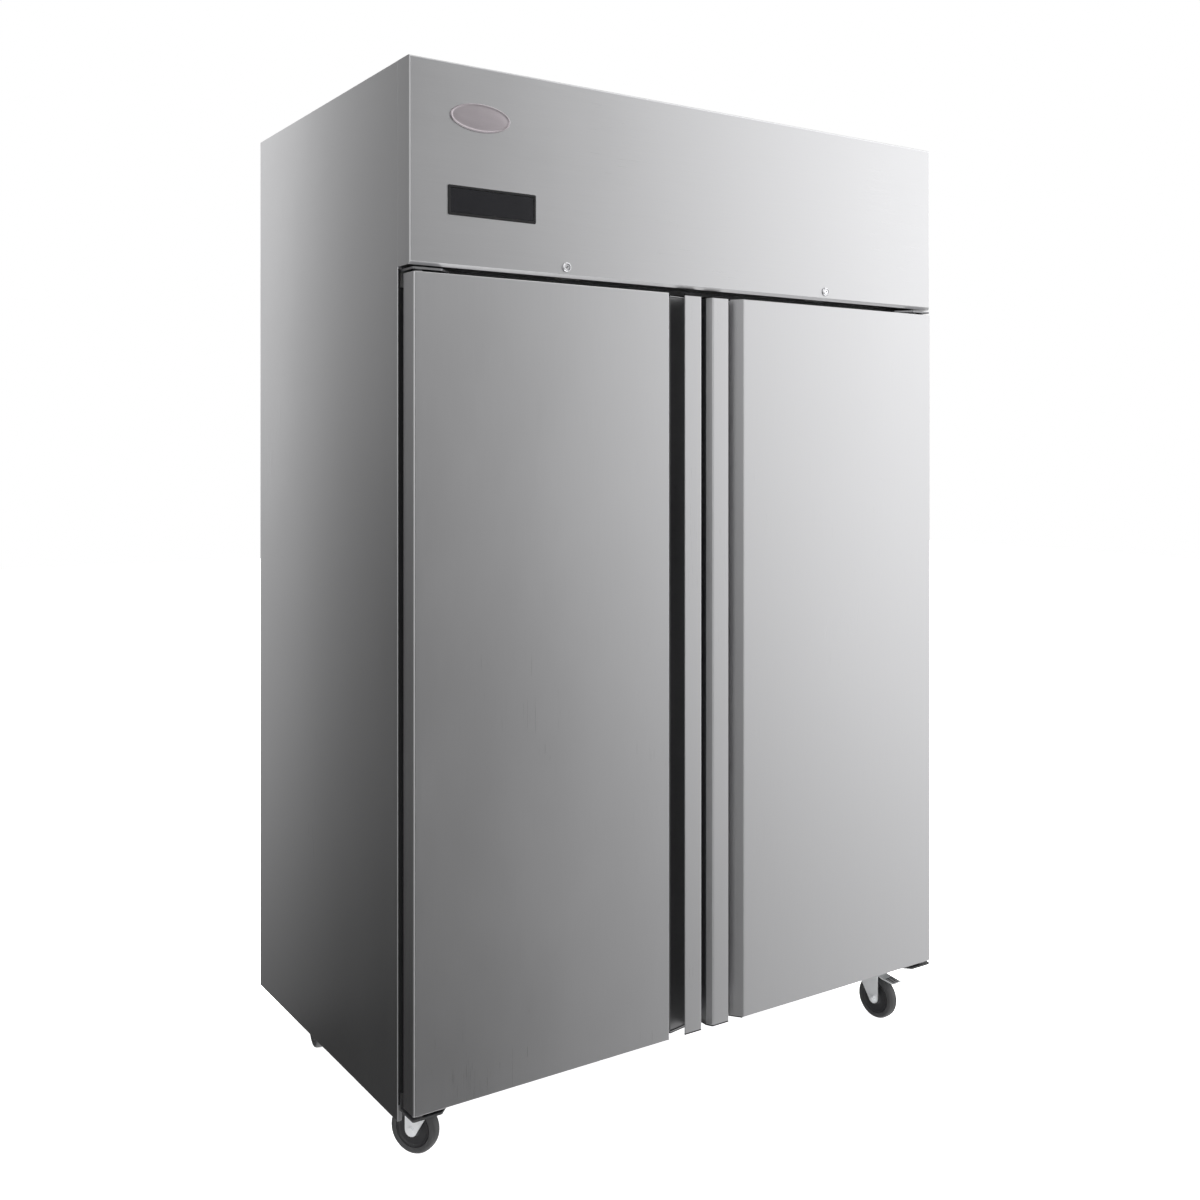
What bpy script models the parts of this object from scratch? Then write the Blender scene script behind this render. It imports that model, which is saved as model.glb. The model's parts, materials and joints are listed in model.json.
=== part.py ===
"""Two-door reach-in refrigerator on castors.

An upright stainless cabinet with a cooling unit on top, two full-height doors with recessed
handles and four swivel castors. Metres, +Z up, the front faces -Y, and the origin is on the
floor under the middle of the cabinet.
"""
import math

import bmesh
import bpy

# Envelope
WIDTH = 1.340
DEPTH = 0.800
HEIGHT = 2.030
HALF_WIDTH = WIDTH / 2
BACK = DEPTH / 2
DOOR_FRONT = -DEPTH / 2
FASCIA_FRONT = DOOR_FRONT + 0.007
CARCASS_FRONT = DOOR_FRONT + 0.057

# Sheet metal and clearances
SHEET = 0.0012
FIT = 0.0004
FLANGE = 0.009

# Carcass heights
SKIRT_BOTTOM = 0.100
BASE_UNDERSIDE = 0.135
DECK = 1.660
TOP_SHEET = 2.0268

# Storage space inside the foam
INSIDE_HALF_WIDTH = 0.612
INSIDE_BACK = 0.340
INSIDE_FLOOR = 0.198
INSIDE_CEILING = 1.582
LINER_SHEET = 0.0010
FRAME_THICKNESS = 0.0015
FRAME_LIP = 0.0014
MULLION_HALF_WIDTH = 0.032
MULLION_DEPTH = 0.055

# Fascia
FASCIA_BOTTOM = 1.655
CONTROLLER_X = -0.500
CONTROLLER_Z = 1.7785
CONTROLLER_SIZE = (0.186, 0.055)
BEZEL_RIM = 0.005
BADGE_X = -0.526
BADGE_Z = 1.935
BADGE_SIZE = (0.125, 0.052)
LOCK_X = 0.338
LOCK_Z = 1.675
LOCK_RADIUS = 0.008
CAM_REACH = 0.042
CAM_Y = DOOR_FRONT + 0.0255
CAM_THICKNESS = 0.0025

# Doors: distances across a door are counted outwards from the cabinet's middle plane
DOOR_BOTTOM = 0.129
DOOR_TOP = 1.642
DOOR_THICKNESS = 0.043
DOOR_OUTER = 0.665
DOOR_SKIN = 0.0010
PANEL_SHEET = 0.0015
SKIN_DEPTH = DOOR_THICKNESS - PANEL_SHEET - 0.0003

# Recessed handle, in the door's section
HANDLE_INNER = 0.0075
HANDLE_CHAMFER_DEPTH = 0.013
LIP_START = 0.015
LIP_END = 0.057
LIP_THICKNESS = 0.0025
POCKET_INNER = 0.021
POCKET_MOUTH = 0.098
POCKET_FOOT = 0.079
POCKET_FOOT_DEPTH = 0.025
POCKET_DEEPEST = 0.035
HANDLE_WALL = 0.0015
HANDLE_CAP = 0.003
POCKET_RIM = 0.003

# Door hinges
PIVOT_X = 0.647
PIVOT_Y = DOOR_FRONT + 0.018
PIN_RADIUS = 0.005
PIN_HOLE_DEPTH = 0.016
PIN_REACH = 0.012
HINGE_WIDTH = 0.088
HINGE_PLATE = 0.004
HINGE_FRONT = DOOR_FRONT + 0.002
HINGE_BACK = CARCASS_FRONT - 0.0003
HINGE_LEG = 0.032
HINGE_LEG_SHEET = 0.003
HINGE_GAP = {"bottom": 0.006, "top": 0.0042}
COLLAR_RADIUS = 0.0075

# Door gasket
GASKET_OUTER = 0.645
GASKET_INNER = 0.014
GASKET_WIDTH = 0.016
GASKET_INSET_Z = 0.030

# Castors
CASTOR_X = {"left": -0.588, "right": 0.553}
CASTOR_Y = {"front": -0.307, "rear": 0.272}
CASTOR_HEADING_DEG = {
    ("front", "left"): 214,
    ("front", "right"): 7,
    ("rear", "left"): -9,
    ("rear", "right"): 21,
}
WHEEL_RADIUS = 0.048
WHEEL_TRAIL = 0.030
WHEEL_HALF_WIDTH = 0.0128
WHEEL_STEPS = 28
HUB_RADIUS = 0.013
TYRE_INSIDE = 0.0340
DISH_HALF_WIDTH = 0.0088
TYRE_HALF_WIDTH = 0.0118
AXLE_RADIUS = 0.0042
AXLE_HEAD = 0.0065
AXLE_HEAD_LENGTH = 0.0035
BORE_CLEARANCE = 0.0005
FORK_INSIDE = 0.0152
FORK_SHEET = 0.0025
FORK_CROWN_Z = 0.1132
FORK_REAR = 0.021
FORK_BOSS = 0.0125
FORK_SHOULDER = 0.012
RACE_RADIUS = 0.022
RACE_DROP = 0.0035
BRAKE_PIVOT = (-0.018, 0.106)
BRAKE_HALF_WIDTH = 0.0148
BRAKE_PIN_RADIUS = 0.003
BRAKE_SHEET = 0.002
BRAKE_LINE = (
    (0.001, 0.0000),
    (-0.012, -0.0015),
    (-0.037, -0.0075),
    (-0.063, -0.0115),
    (-0.070, -0.0100),
)
BRAKE_SHOE = (-0.026, -0.016, -0.0068, -0.003)
MOUNT_PLATE = (0.092, 0.070, 0.0029)
MOUNT_CORNER = 0.008
MOUNT_GAP = 0.0003

# Cooling unit and inside fittings
COMPRESSOR_AT = (0.400, 0.120)
COMPRESSOR_PROFILE = (
    (0.092, 0.000),
    (0.092, 0.006),
    (0.074, 0.010),
    (0.078, 0.060),
    (0.078, 0.130),
    (0.070, 0.165),
    (0.040, 0.190),
)
CONDENSER_X = -0.330
CONDENSER_SIZE = (0.330, 0.055, 0.250)
CONDENSER_Y = -0.020
CONDENSER_FAN_RADIUS = 0.105
EVAPORATOR_HALF_WIDTH = 0.340
EVAPORATOR_FRONT = 0.030
EVAPORATOR_BOTTOM = 1.458
EVAPORATOR_FAN_X = 0.170
EVAPORATOR_FAN_RADIUS = 0.044
SHELF_HEIGHTS = {"lower": 0.520, "middle": 0.850, "upper": 1.180}
SHELF_SPAN = (0.056, 0.586)
SHELF_FRONT = -0.322
SHELF_BACK = 0.328
SHELF_THICKNESS = 0.008

SIDES = {"left": -1, "right": 1}


# ---------------------------------------------------------------- scene and materials

def clear_scene():
    for obj in list(bpy.data.objects):
        bpy.data.objects.remove(obj, do_unlink=True)


def make_material(name, colour, roughness, metallic):
    material = bpy.data.materials.new(name)
    material.use_nodes = True
    shader = material.node_tree.nodes["Principled BSDF"]
    shader.inputs["Base Color"].default_value = (*colour, 1.0)
    shader.inputs["Roughness"].default_value = roughness
    shader.inputs["Metallic"].default_value = metallic
    return material


def add_empty(name, location, parent=None, heading=0.0):
    empty = bpy.data.objects.new(name, None)
    empty.location = location
    empty.rotation_euler = (0.0, 0.0, heading)
    empty.parent = parent
    bpy.context.collection.objects.link(empty)
    return empty


def add_body(name, bm, material, parent, location=(0, 0, 0), smooth_deg=None):
    """Turn a closed bmesh, given relative to its own location, into a named object."""
    bmesh.ops.recalc_face_normals(bm, faces=bm.faces)
    mesh = bpy.data.meshes.new(name)
    bm.to_mesh(mesh)
    bm.free()
    mesh.materials.append(material)
    if smooth_deg is not None:
        mesh.shade_smooth()
        mesh.set_sharp_from_angle(angle=math.radians(smooth_deg))
    obj = bpy.data.objects.new(name, mesh)
    obj.location = location
    obj.parent = parent
    bpy.context.collection.objects.link(obj)
    return obj


def combine(target, bm, operation):
    """Add a tool shape to a body, or cut it out; the tool is given in the body's own space."""
    material = target.data.materials[0]
    tool = add_body("tool", bm, material, target)
    modifier = target.modifiers.new("combine", "BOOLEAN")
    modifier.operation = operation
    modifier.object = tool
    modifier.solver = "EXACT"
    bpy.context.view_layer.update()
    graph = bpy.context.evaluated_depsgraph_get()
    mesh = bpy.data.meshes.new_from_object(target.evaluated_get(graph))
    target.modifiers.clear()
    target.data = mesh
    mesh.name = target.name
    bpy.data.objects.remove(tool, do_unlink=True)


def join(target, bm):
    combine(target, bm, "UNION")


def cut(target, bm):
    combine(target, bm, "DIFFERENCE")


# ---------------------------------------------------------------- basic shapes

def on_axis(axis, u, v, w):
    """A point whose third coordinate runs along the named axis."""
    return {"X": (w, u, v), "Y": (u, w, v), "Z": (u, v, w)}[axis]


def loft(loops, ring=False):
    """Skin between loops of equally many points: a ring closes on itself, the rest is capped."""
    bm = bmesh.new()
    rows = [[bm.verts.new(point) for point in loop] for loop in loops]
    following = rows[1:] + rows[:1] if ring else rows[1:]
    for row, other in zip(rows, following):
        for i in range(len(row)):
            j = (i + 1) % len(row)
            bm.faces.new((row[i], row[j], other[j], other[i]))
    if not ring:
        bm.faces.new(tuple(reversed(rows[0])))
        bm.faces.new(rows[-1])
    return bm


def prism(outline, start, end, axis="Z"):
    """An outline pushed along an axis; its points are (y, z), (x, z) or (x, y)."""
    return loft([[on_axis(axis, u, v, w) for u, v in outline] for w in (start, end)])


def box(low, high):
    corners = [(low[0], low[1]), (high[0], low[1]), (high[0], high[1]), (low[0], high[1])]
    return prism(corners, low[2], high[2])


def rectangle(x_low, x_high, z_low, z_high, y):
    """Four corners in an upright plane that faces the front."""
    return [(x_low, y, z_low), (x_high, y, z_low), (x_high, y, z_high), (x_low, y, z_high)]


def circle(radius, steps, centre=(0.0, 0.0)):
    """Points round a circle, with a flat side towards each quarter."""
    turn = 2 * math.pi / steps
    return [
        (
            centre[0] + radius * math.cos((i + 0.5) * turn),
            centre[1] + radius * math.sin((i + 0.5) * turn),
        )
        for i in range(steps)
    ]


def turned(profile, axis="Z", steps=24, centre=(0.0, 0.0), ring=False):
    """A turned body from (radius, place along the axis) pairs; a ring has a hole through it."""
    loops = [
        [on_axis(axis, u, v, place) for u, v in circle(radius, steps, centre)]
        for radius, place in profile
    ]
    return loft(loops, ring)


def rounded(corners, steps=4):
    """An outline from (u, v, radius) corners, each corner turned into an arc."""
    points = []
    count = len(corners)
    for i, (u, v, radius) in enumerate(corners):
        if radius == 0:
            points.append((u, v))
            continue
        before = corners[i - 1]
        after = corners[(i + 1) % count]
        to_before = math.atan2(before[1] - v, before[0] - u)
        to_after = math.atan2(after[1] - v, after[0] - u)
        opening = (to_after - to_before + math.pi) % (2 * math.pi) - math.pi
        middle = to_before + opening / 2
        reach = radius / math.sin(abs(opening) / 2)
        centre = (u + reach * math.cos(middle), v + reach * math.sin(middle))
        sweep = math.copysign(math.pi - abs(opening), opening)
        start = middle + math.pi + sweep / 2
        for step in range(steps + 1):
            angle = start - sweep * step / steps
            points.append(
                (centre[0] + radius * math.cos(angle), centre[1] + radius * math.sin(angle))
            )
    return points


def cell_plate(us, vs, is_open, start, end, axis):
    """A plate of grid cells between the lines us and vs, with some cells left open."""
    bm = bmesh.new()
    verts = {}

    def vertex(i, j, level):
        key = (i, j, level)
        if key not in verts:
            place = end if level else start
            verts[key] = bm.verts.new(on_axis(axis, us[i], vs[j], place))
        return verts[key]

    def solid(i, j):
        inside = 0 <= i < len(us) - 1 and 0 <= j < len(vs) - 1
        return inside and not is_open(i, j)

    for i in range(len(us) - 1):
        for j in range(len(vs) - 1):
            if not solid(i, j):
                continue
            ring = [(i, j), (i + 1, j), (i + 1, j + 1), (i, j + 1)]
            bm.faces.new([vertex(a, b, 1) for a, b in ring])
            bm.faces.new([vertex(a, b, 0) for a, b in reversed(ring)])
            neighbours = [(i, j - 1), (i + 1, j), (i, j + 1), (i - 1, j)]
            for side, neighbour in enumerate(neighbours):
                if solid(*neighbour):
                    continue
                a = ring[side]
                b = ring[(side + 1) % 4]
                bm.faces.new((vertex(*a, 0), vertex(*b, 0), vertex(*b, 1), vertex(*a, 1)))
    return bm


def bars_and_gaps(low, high, bar, count):
    """Grid lines for count gaps of equal width between bars."""
    gap = (high - low - bar * (count + 1)) / count
    lines = []
    for i in range(count + 1):
        start = low + i * (bar + gap)
        lines += [start, start + bar]
    return lines


# ---------------------------------------------------------------- cabinet

def build_side_panels(cabinet, steel):
    for side, sign in SIDES.items():
        outer = sign * HALF_WIDTH
        inner = sign * (HALF_WIDTH - SHEET)
        flange = sign * (HALF_WIDTH - FLANGE)
        outline = [
            (outer, CARCASS_FRONT),
            (flange, CARCASS_FRONT),
            (flange, CARCASS_FRONT + SHEET),
            (inner, CARCASS_FRONT + SHEET),
            (inner, BACK - SHEET),
            (flange, BACK - SHEET),
            (flange, BACK),
            (outer, BACK),
        ]
        add_body(f"side_panel_{side}", prism(outline, SKIRT_BOTTOM, HEIGHT), steel, cabinet)


def build_back(cabinet, steel):
    reach = HALF_WIDTH - FLANGE - FIT
    low = (-reach, BACK - SHEET, BASE_UNDERSIDE)
    high = (reach, BACK, DECK)
    add_body("back_panel", box(low, high), steel, cabinet)

    columns = bars_and_gaps(-reach, reach, 0.050, 4)
    rows = bars_and_gaps(DECK + FIT, HEIGHT - 0.003, 0.020, 9)
    grille = cell_plate(
        columns, rows, lambda i, j: i % 2 == 1 and j % 2 == 1, BACK - SHEET, BACK, "Y"
    )
    add_body("rear_grille", grille, steel, cabinet)


def build_base_and_top(cabinet, steel):
    reach = HALF_WIDTH - SHEET - FIT
    front = CARCASS_FRONT + SHEET + FIT
    back = BACK - SHEET - FIT
    base = box((-reach, front, BASE_UNDERSIDE), (reach, back, BASE_UNDERSIDE + SHEET))
    add_body("base_pan", base, steel, cabinet)

    columns = bars_and_gaps(-reach, reach, 0.060, 5)
    rows = [front, 0.180, 0.196, 0.230, 0.246, 0.280, 0.296, back]
    top = cell_plate(
        columns,
        rows,
        lambda i, j: i % 2 == 1 and j % 2 == 1,
        TOP_SHEET,
        TOP_SHEET + SHEET,
        "Z",
    )
    add_body("top_cover", top, steel, cabinet)


def build_insulated_box(cabinet, foam, steel, plastic):
    outer = HALF_WIDTH - SHEET - FIT
    front = CARCASS_FRONT + FRAME_THICKNESS + FIT
    back = BACK - SHEET - FIT
    bottom = BASE_UNDERSIDE + SHEET + FIT
    shell = loft(
        [
            rectangle(-outer, outer, bottom, DECK, back),
            rectangle(-outer, outer, bottom, DECK, front),
            rectangle(-INSIDE_HALF_WIDTH, INSIDE_HALF_WIDTH, INSIDE_FLOOR, INSIDE_CEILING, front),
            rectangle(
                -INSIDE_HALF_WIDTH, INSIDE_HALF_WIDTH, INSIDE_FLOOR, INSIDE_CEILING, INSIDE_BACK
            ),
        ]
    )
    add_body("insulation_body", shell, foam, cabinet)

    def liner_loop(inset, y):
        half = INSIDE_HALF_WIDTH - inset
        return rectangle(-half, half, INSIDE_FLOOR + inset, INSIDE_CEILING - inset, y)

    inner = FIT + LINER_SHEET
    liner = loft(
        [
            liner_loop(FIT, INSIDE_BACK - FIT),
            liner_loop(FIT, front),
            liner_loop(inner, front),
            liner_loop(inner, INSIDE_BACK - inner),
        ]
    )
    add_body("inner_liner", liner, steel, cabinet)

    reach = HALF_WIDTH - FLANGE - FIT
    hole = INSIDE_HALF_WIDTH - FRAME_LIP
    floor = INSIDE_FLOOR + FRAME_LIP
    ceiling = INSIDE_CEILING - FRAME_LIP
    frame_back = CARCASS_FRONT + FRAME_THICKNESS
    frame = cell_plate(
        [-reach, -hole, hole, reach],
        [bottom, floor, ceiling, DECK],
        lambda i, j: i == 1 and j == 1,
        CARCASS_FRONT,
        frame_back,
        "Y",
    )
    add_body("door_frame", frame, plastic, cabinet)
    mullion = box(
        (-MULLION_HALF_WIDTH, CARCASS_FRONT, floor + FIT),
        (MULLION_HALF_WIDTH, CARCASS_FRONT + MULLION_DEPTH, ceiling - FIT),
    )
    add_body("mullion", mullion, plastic, cabinet)


def build_fascia(cabinet, steel):
    back = CARCASS_FRONT - FIT
    inside = FASCIA_FRONT + SHEET

    def loop(inset, y):
        half = HALF_WIDTH - inset
        return rectangle(-half, half, FASCIA_BOTTOM + inset, HEIGHT - inset, y)

    shell = loft(
        [loop(0, FASCIA_FRONT), loop(0, back), loop(SHEET, back), loop(SHEET, inside)]
    )
    fascia = add_body("front_fascia", shell, steel, cabinet)
    window_x = CONTROLLER_SIZE[0] / 2 - BEZEL_RIM + 0.001
    window_z = CONTROLLER_SIZE[1] / 2 - BEZEL_RIM + 0.001
    cut(
        fascia,
        box(
            (CONTROLLER_X - window_x, FASCIA_FRONT - 0.01, CONTROLLER_Z - window_z),
            (CONTROLLER_X + window_x, FASCIA_FRONT + 0.01, CONTROLLER_Z + window_z),
        ),
    )
    for sign in SIDES.values():
        hole = circle(LOCK_RADIUS + 0.0006, 24, (sign * LOCK_X, LOCK_Z))
        cut(fascia, prism(hole, FASCIA_FRONT - 0.01, FASCIA_FRONT + 0.01, "Y"))
        cut(fascia, cam_slot(sign, FASCIA_BOTTOM - 0.005, FASCIA_BOTTOM + 0.005))


def cam_slot(sign, bottom, top):
    """The room that a lock's cam needs as it swings down into the door."""
    edges = sorted((sign * (LOCK_X + 0.010), sign * (LOCK_X - CAM_REACH)))
    return box((edges[0], CAM_Y - 0.0045, bottom), (edges[1], CAM_Y + 0.0045, top))


def build_fascia_fittings(cabinet, materials):
    width, height = CONTROLLER_SIZE
    left = CONTROLLER_X - width / 2
    bottom = CONTROLLER_Z - height / 2

    def loop(inset, y):
        return rectangle(
            left + inset, left + width - inset, bottom + inset, bottom + height - inset, y
        )

    bezel_front = FASCIA_FRONT - 0.0018
    bezel_back = FASCIA_FRONT - FIT
    bezel = loft(
        [
            loop(0, bezel_back),
            loop(0, bezel_front + 0.0008),
            loop(0.0008, bezel_front),
            loop(BEZEL_RIM, bezel_front),
            loop(BEZEL_RIM, bezel_back),
        ],
        ring=True,
    )
    add_body("controller_bezel", bezel, materials["bezel"], cabinet)
    window = loft(
        [
            loop(BEZEL_RIM + FIT, bezel_front + 0.0006),
            loop(BEZEL_RIM + FIT, FASCIA_FRONT + 0.018),
        ]
    )
    add_body("controller_window", window, materials["display"], cabinet)

    def oval(inset, y):
        return [
            (
                BADGE_X + (BADGE_SIZE[0] / 2 - inset) * math.cos(2 * math.pi * i / 40),
                y,
                BADGE_Z + (BADGE_SIZE[1] / 2 - inset) * math.sin(2 * math.pi * i / 40),
            )
            for i in range(40)
        ]

    badge = loft(
        [
            oval(0, FASCIA_FRONT - FIT),
            oval(0, FASCIA_FRONT - 0.0018),
            oval(0.0012, FASCIA_FRONT - 0.0028),
        ]
    )
    add_body("badge_plate", badge, materials["badge"], cabinet, smooth_deg=30)


def build_locks(cabinet, chrome, zinc):
    barrel_back = CAM_Y - CAM_THICKNESS / 2 - FIT
    for side, sign in SIDES.items():
        axis = add_empty(f"lock_{side}_axis", (sign * LOCK_X, 0.0, LOCK_Z), cabinet)
        profile = [
            (0.0075, FASCIA_FRONT - 0.0038),
            (0.0095, FASCIA_FRONT - 0.0024),
            (0.0095, FASCIA_FRONT - FIT),
            (LOCK_RADIUS, FASCIA_FRONT - FIT),
            (LOCK_RADIUS, barrel_back),
        ]
        add_body(f"lock_barrel_{side}", turned(profile, "Y"), chrome, axis, smooth_deg=35)
        # At rest the arm points level, towards the cabinet's middle: the door is unlocked.
        arm = [
            (sign * 0.008, -0.008, 0.0079),
            (-sign * CAM_REACH, -0.006, 0.0055),
            (-sign * CAM_REACH, 0.006, 0.0055),
            (sign * 0.008, 0.008, 0.0079),
        ]
        cam = prism(
            rounded(arm), CAM_Y - CAM_THICKNESS / 2, CAM_Y + CAM_THICKNESS / 2, "Y"
        )
        add_body(f"lock_cam_{side}", cam, zinc, axis)


# ---------------------------------------------------------------- doors

def door_rectangle(sign, near, far, inset_z, depth):
    """A loop across a door, from a near to a far distance, relative to the door's hinge axis."""
    xs = sorted((sign * near, sign * far))
    pivot_x = sign * PIVOT_X
    return [
        (x - pivot_x, y - PIVOT_Y, z)
        for x, y, z in rectangle(
            *xs, DOOR_BOTTOM + inset_z, DOOR_TOP - inset_z, DOOR_FRONT + depth
        )
    ]


def door_section(sign, points):
    """Section points (distance from the middle, depth) as x and y from the hinge axis."""
    return [(sign * d - sign * PIVOT_X, DOOR_FRONT + p - PIVOT_Y) for d, p in points]


def door_cuts(sign):
    """The hinge pin holes and the lock's slot, for the skin and for the foam behind it."""
    drill = PIN_RADIUS + 0.0006
    shift_x = -sign * PIVOT_X
    for low, high in (
        (DOOR_BOTTOM - 0.01, DOOR_BOTTOM + PIN_HOLE_DEPTH),
        (DOOR_TOP - PIN_HOLE_DEPTH, DOOR_TOP + 0.01),
    ):
        yield turned([(drill, low), (drill, high)], steps=16)
    slot = cam_slot(sign, DOOR_TOP - 0.014, DOOR_TOP + 0.01)
    bmesh.ops.translate(slot, verts=slot.verts, vec=(shift_x, -PIVOT_Y, 0.0))
    yield slot


def build_skin(hinge, side, sign, steel):
    """Folded front sheet with four returns; the return at the handle slants into the pocket."""
    wall = DOOR_SKIN
    back = SKIN_DEPTH
    slant = POCKET_FOOT_DEPTH
    skin = loft(
        [
            door_rectangle(sign, POCKET_MOUTH, DOOR_OUTER, 0, 0),
            door_rectangle(sign, POCKET_FOOT, DOOR_OUTER, 0, slant),
            door_rectangle(sign, POCKET_FOOT, DOOR_OUTER, 0, back),
            door_rectangle(sign, POCKET_FOOT + wall, DOOR_OUTER - wall, wall, back),
            door_rectangle(sign, POCKET_FOOT + wall, DOOR_OUTER - wall, wall, slant),
            door_rectangle(sign, POCKET_MOUTH + wall, DOOR_OUTER - wall, wall, wall),
        ]
    )
    skin = add_body(f"door_{side}_skin", skin, steel, hinge)
    for tool in door_cuts(sign):
        cut(skin, tool)


def build_core(hinge, side, sign, foam):
    inset = DOOR_SKIN + FIT
    core = loft(
        [
            door_rectangle(sign, POCKET_MOUTH + inset, DOOR_OUTER - inset, inset, inset),
            door_rectangle(
                sign, POCKET_FOOT + inset, DOOR_OUTER - inset, inset, POCKET_FOOT_DEPTH
            ),
            door_rectangle(sign, POCKET_FOOT + inset, DOOR_OUTER - inset, inset, SKIN_DEPTH),
        ]
    )
    core = add_body(f"door_{side}_core", core, foam, hinge)
    for tool in door_cuts(sign):
        cut(core, tool)


def build_handle(hinge, side, sign, steel):
    """Bent channel that forms the finger pocket and its lip, with a cap behind each end."""
    wall = HANDLE_WALL
    foot = POCKET_FOOT - 0.0003
    section = [
        (foot, SKIN_DEPTH),
        (foot, POCKET_FOOT_DEPTH),
        (POCKET_INNER, POCKET_DEEPEST),
        (POCKET_INNER, LIP_THICKNESS),
        (LIP_END, LIP_THICKNESS),
        (LIP_END, 0.0),
        (LIP_START, 0.0),
        (HANDLE_INNER, HANDLE_CHAMFER_DEPTH),
        (HANDLE_INNER, SKIN_DEPTH),
        (HANDLE_INNER + wall, SKIN_DEPTH),
        (HANDLE_INNER + wall, HANDLE_CHAMFER_DEPTH + 0.0004),
        (LIP_START + 0.0009, wall),
        (POCKET_INNER - wall, wall),
        (POCKET_INNER - wall, POCKET_DEEPEST + 0.0018),
        (foot - wall, POCKET_FOOT_DEPTH + 0.0018),
        (foot - wall, SKIN_DEPTH),
    ]
    end_cap = [
        (foot, SKIN_DEPTH),
        (foot, POCKET_FOOT_DEPTH - POCKET_RIM),
        (POCKET_INNER, POCKET_DEEPEST - POCKET_RIM),
        (POCKET_INNER, 0.0),
        (LIP_START, 0.0),
        (HANDLE_INNER, HANDLE_CHAMFER_DEPTH),
        (HANDLE_INNER, SKIN_DEPTH),
    ]
    channel = prism(
        door_section(sign, section), DOOR_BOTTOM + HANDLE_CAP / 2, DOOR_TOP - HANDLE_CAP / 2
    )
    handle = add_body(f"door_{side}_handle", channel, steel, hinge)
    for low in (DOOR_BOTTOM, DOOR_TOP - HANDLE_CAP):
        join(handle, prism(door_section(sign, end_cap), low, low + HANDLE_CAP))


def build_inner_panel(hinge, side, sign, plastic):
    """Moulded back of the door with a raised middle."""
    under = DOOR_THICKNESS - PANEL_SHEET
    near = HANDLE_INNER + 0.0005
    far = DOOR_OUTER - 0.0005
    raised = 0.006

    def loop(inset, depth):
        return door_rectangle(sign, near + inset, far - inset, 0.0005 + inset, depth)

    panel = loft(
        [
            loop(0.0690, under + raised),
            loop(0.0635, under),
            loop(0.0, under),
            loop(0.0, DOOR_THICKNESS),
            loop(0.0620, DOOR_THICKNESS),
            loop(0.0680, DOOR_THICKNESS + raised),
        ]
    )
    add_body(f"door_{side}_inner_panel", panel, plastic, hinge)


def build_gasket(hinge, side, sign, rubber):
    back = CARCASS_FRONT - DOOR_FRONT - 0.0003
    front = DOOR_THICKNESS + 0.0003

    def loop(inset, depth):
        return door_rectangle(
            sign, GASKET_INNER + inset, GASKET_OUTER - inset, GASKET_INSET_Z + inset, depth
        )

    gasket = loft(
        [
            loop(0.0, front),
            loop(0.0, back),
            loop(GASKET_WIDTH, back),
            loop(GASKET_WIDTH, front),
        ],
        ring=True,
    )
    add_body(f"door_{side}_gasket", gasket, rubber, hinge)


def build_doors(cabinet, materials):
    for side, sign in SIDES.items():
        hinge = add_empty(f"door_{side}_hinge", (sign * PIVOT_X, PIVOT_Y, 0.0), cabinet)
        build_skin(hinge, side, sign, materials["steel"])
        build_core(hinge, side, sign, materials["foam"])
        build_handle(hinge, side, sign, materials["steel"])
        build_inner_panel(hinge, side, sign, materials["liner"])
        build_gasket(hinge, side, sign, materials["rubber"])


def build_hinge_plates(cabinet, black, zinc):
    """Angle plates screwed to the carcass, each with the pin that its door turns on."""
    for side, sign in SIDES.items():
        outer = sign * DOOR_OUTER
        inner = sign * (DOOR_OUTER - HINGE_WIDTH)
        outline = rounded(
            [
                (outer, HINGE_BACK, 0.0),
                (outer, HINGE_FRONT, 0.004),
                (inner + sign * 0.030, HINGE_FRONT, 0.004),
                (inner, HINGE_FRONT + 0.030, 0.006),
                (inner, HINGE_BACK, 0.0),
            ],
            steps=3,
        )
        xs = sorted((outer, inner))
        axis = (sign * PIVOT_X, PIVOT_Y)
        for end, door_end, away, material in (
            ("bottom", DOOR_BOTTOM, -1, black),
            ("top", DOOR_TOP, 1, zinc),
        ):
            near = door_end + away * HINGE_GAP[end]
            far = near + away * HINGE_PLATE
            middle = (near + far) / 2
            plate = prism(outline, min(near, far), max(near, far))
            hinge = add_body(f"hinge_{end}_{side}", plate, material, cabinet)
            leg = sorted((far, far - away * HINGE_LEG))
            low = (xs[0], HINGE_BACK - HINGE_LEG_SHEET, leg[0])
            join(hinge, box(low, (xs[1], HINGE_BACK, leg[1])))
            for radius, tip in (
                (PIN_RADIUS, door_end - away * PIN_REACH),
                (COLLAR_RADIUS, door_end + away * FIT),
            ):
                profile = [(radius, z) for z in sorted((middle, tip))]
                join(hinge, turned(profile, steps=16, centre=axis))


# ---------------------------------------------------------------- castors

def build_castor_plate(cabinet, name, x, y, zinc):
    """Square top plate and upper bearing race, bolted under the base pan."""
    length_x, length_y, thickness = MOUNT_PLATE
    top = BASE_UNDERSIDE - MOUNT_GAP
    bottom = top - thickness
    outline = rounded(
        [
            (-length_x / 2, -length_y / 2, MOUNT_CORNER),
            (length_x / 2, -length_y / 2, MOUNT_CORNER),
            (length_x / 2, length_y / 2, MOUNT_CORNER),
            (-length_x / 2, length_y / 2, MOUNT_CORNER),
        ],
        steps=3,
    )
    plate = add_body(name, prism(outline, bottom, top), zinc, cabinet, (x, y, 0.0))
    race = turned(
        [(RACE_RADIUS - 0.003, bottom - RACE_DROP), (RACE_RADIUS + 0.002, bottom + 0.0012)]
    )
    join(plate, race)


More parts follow.
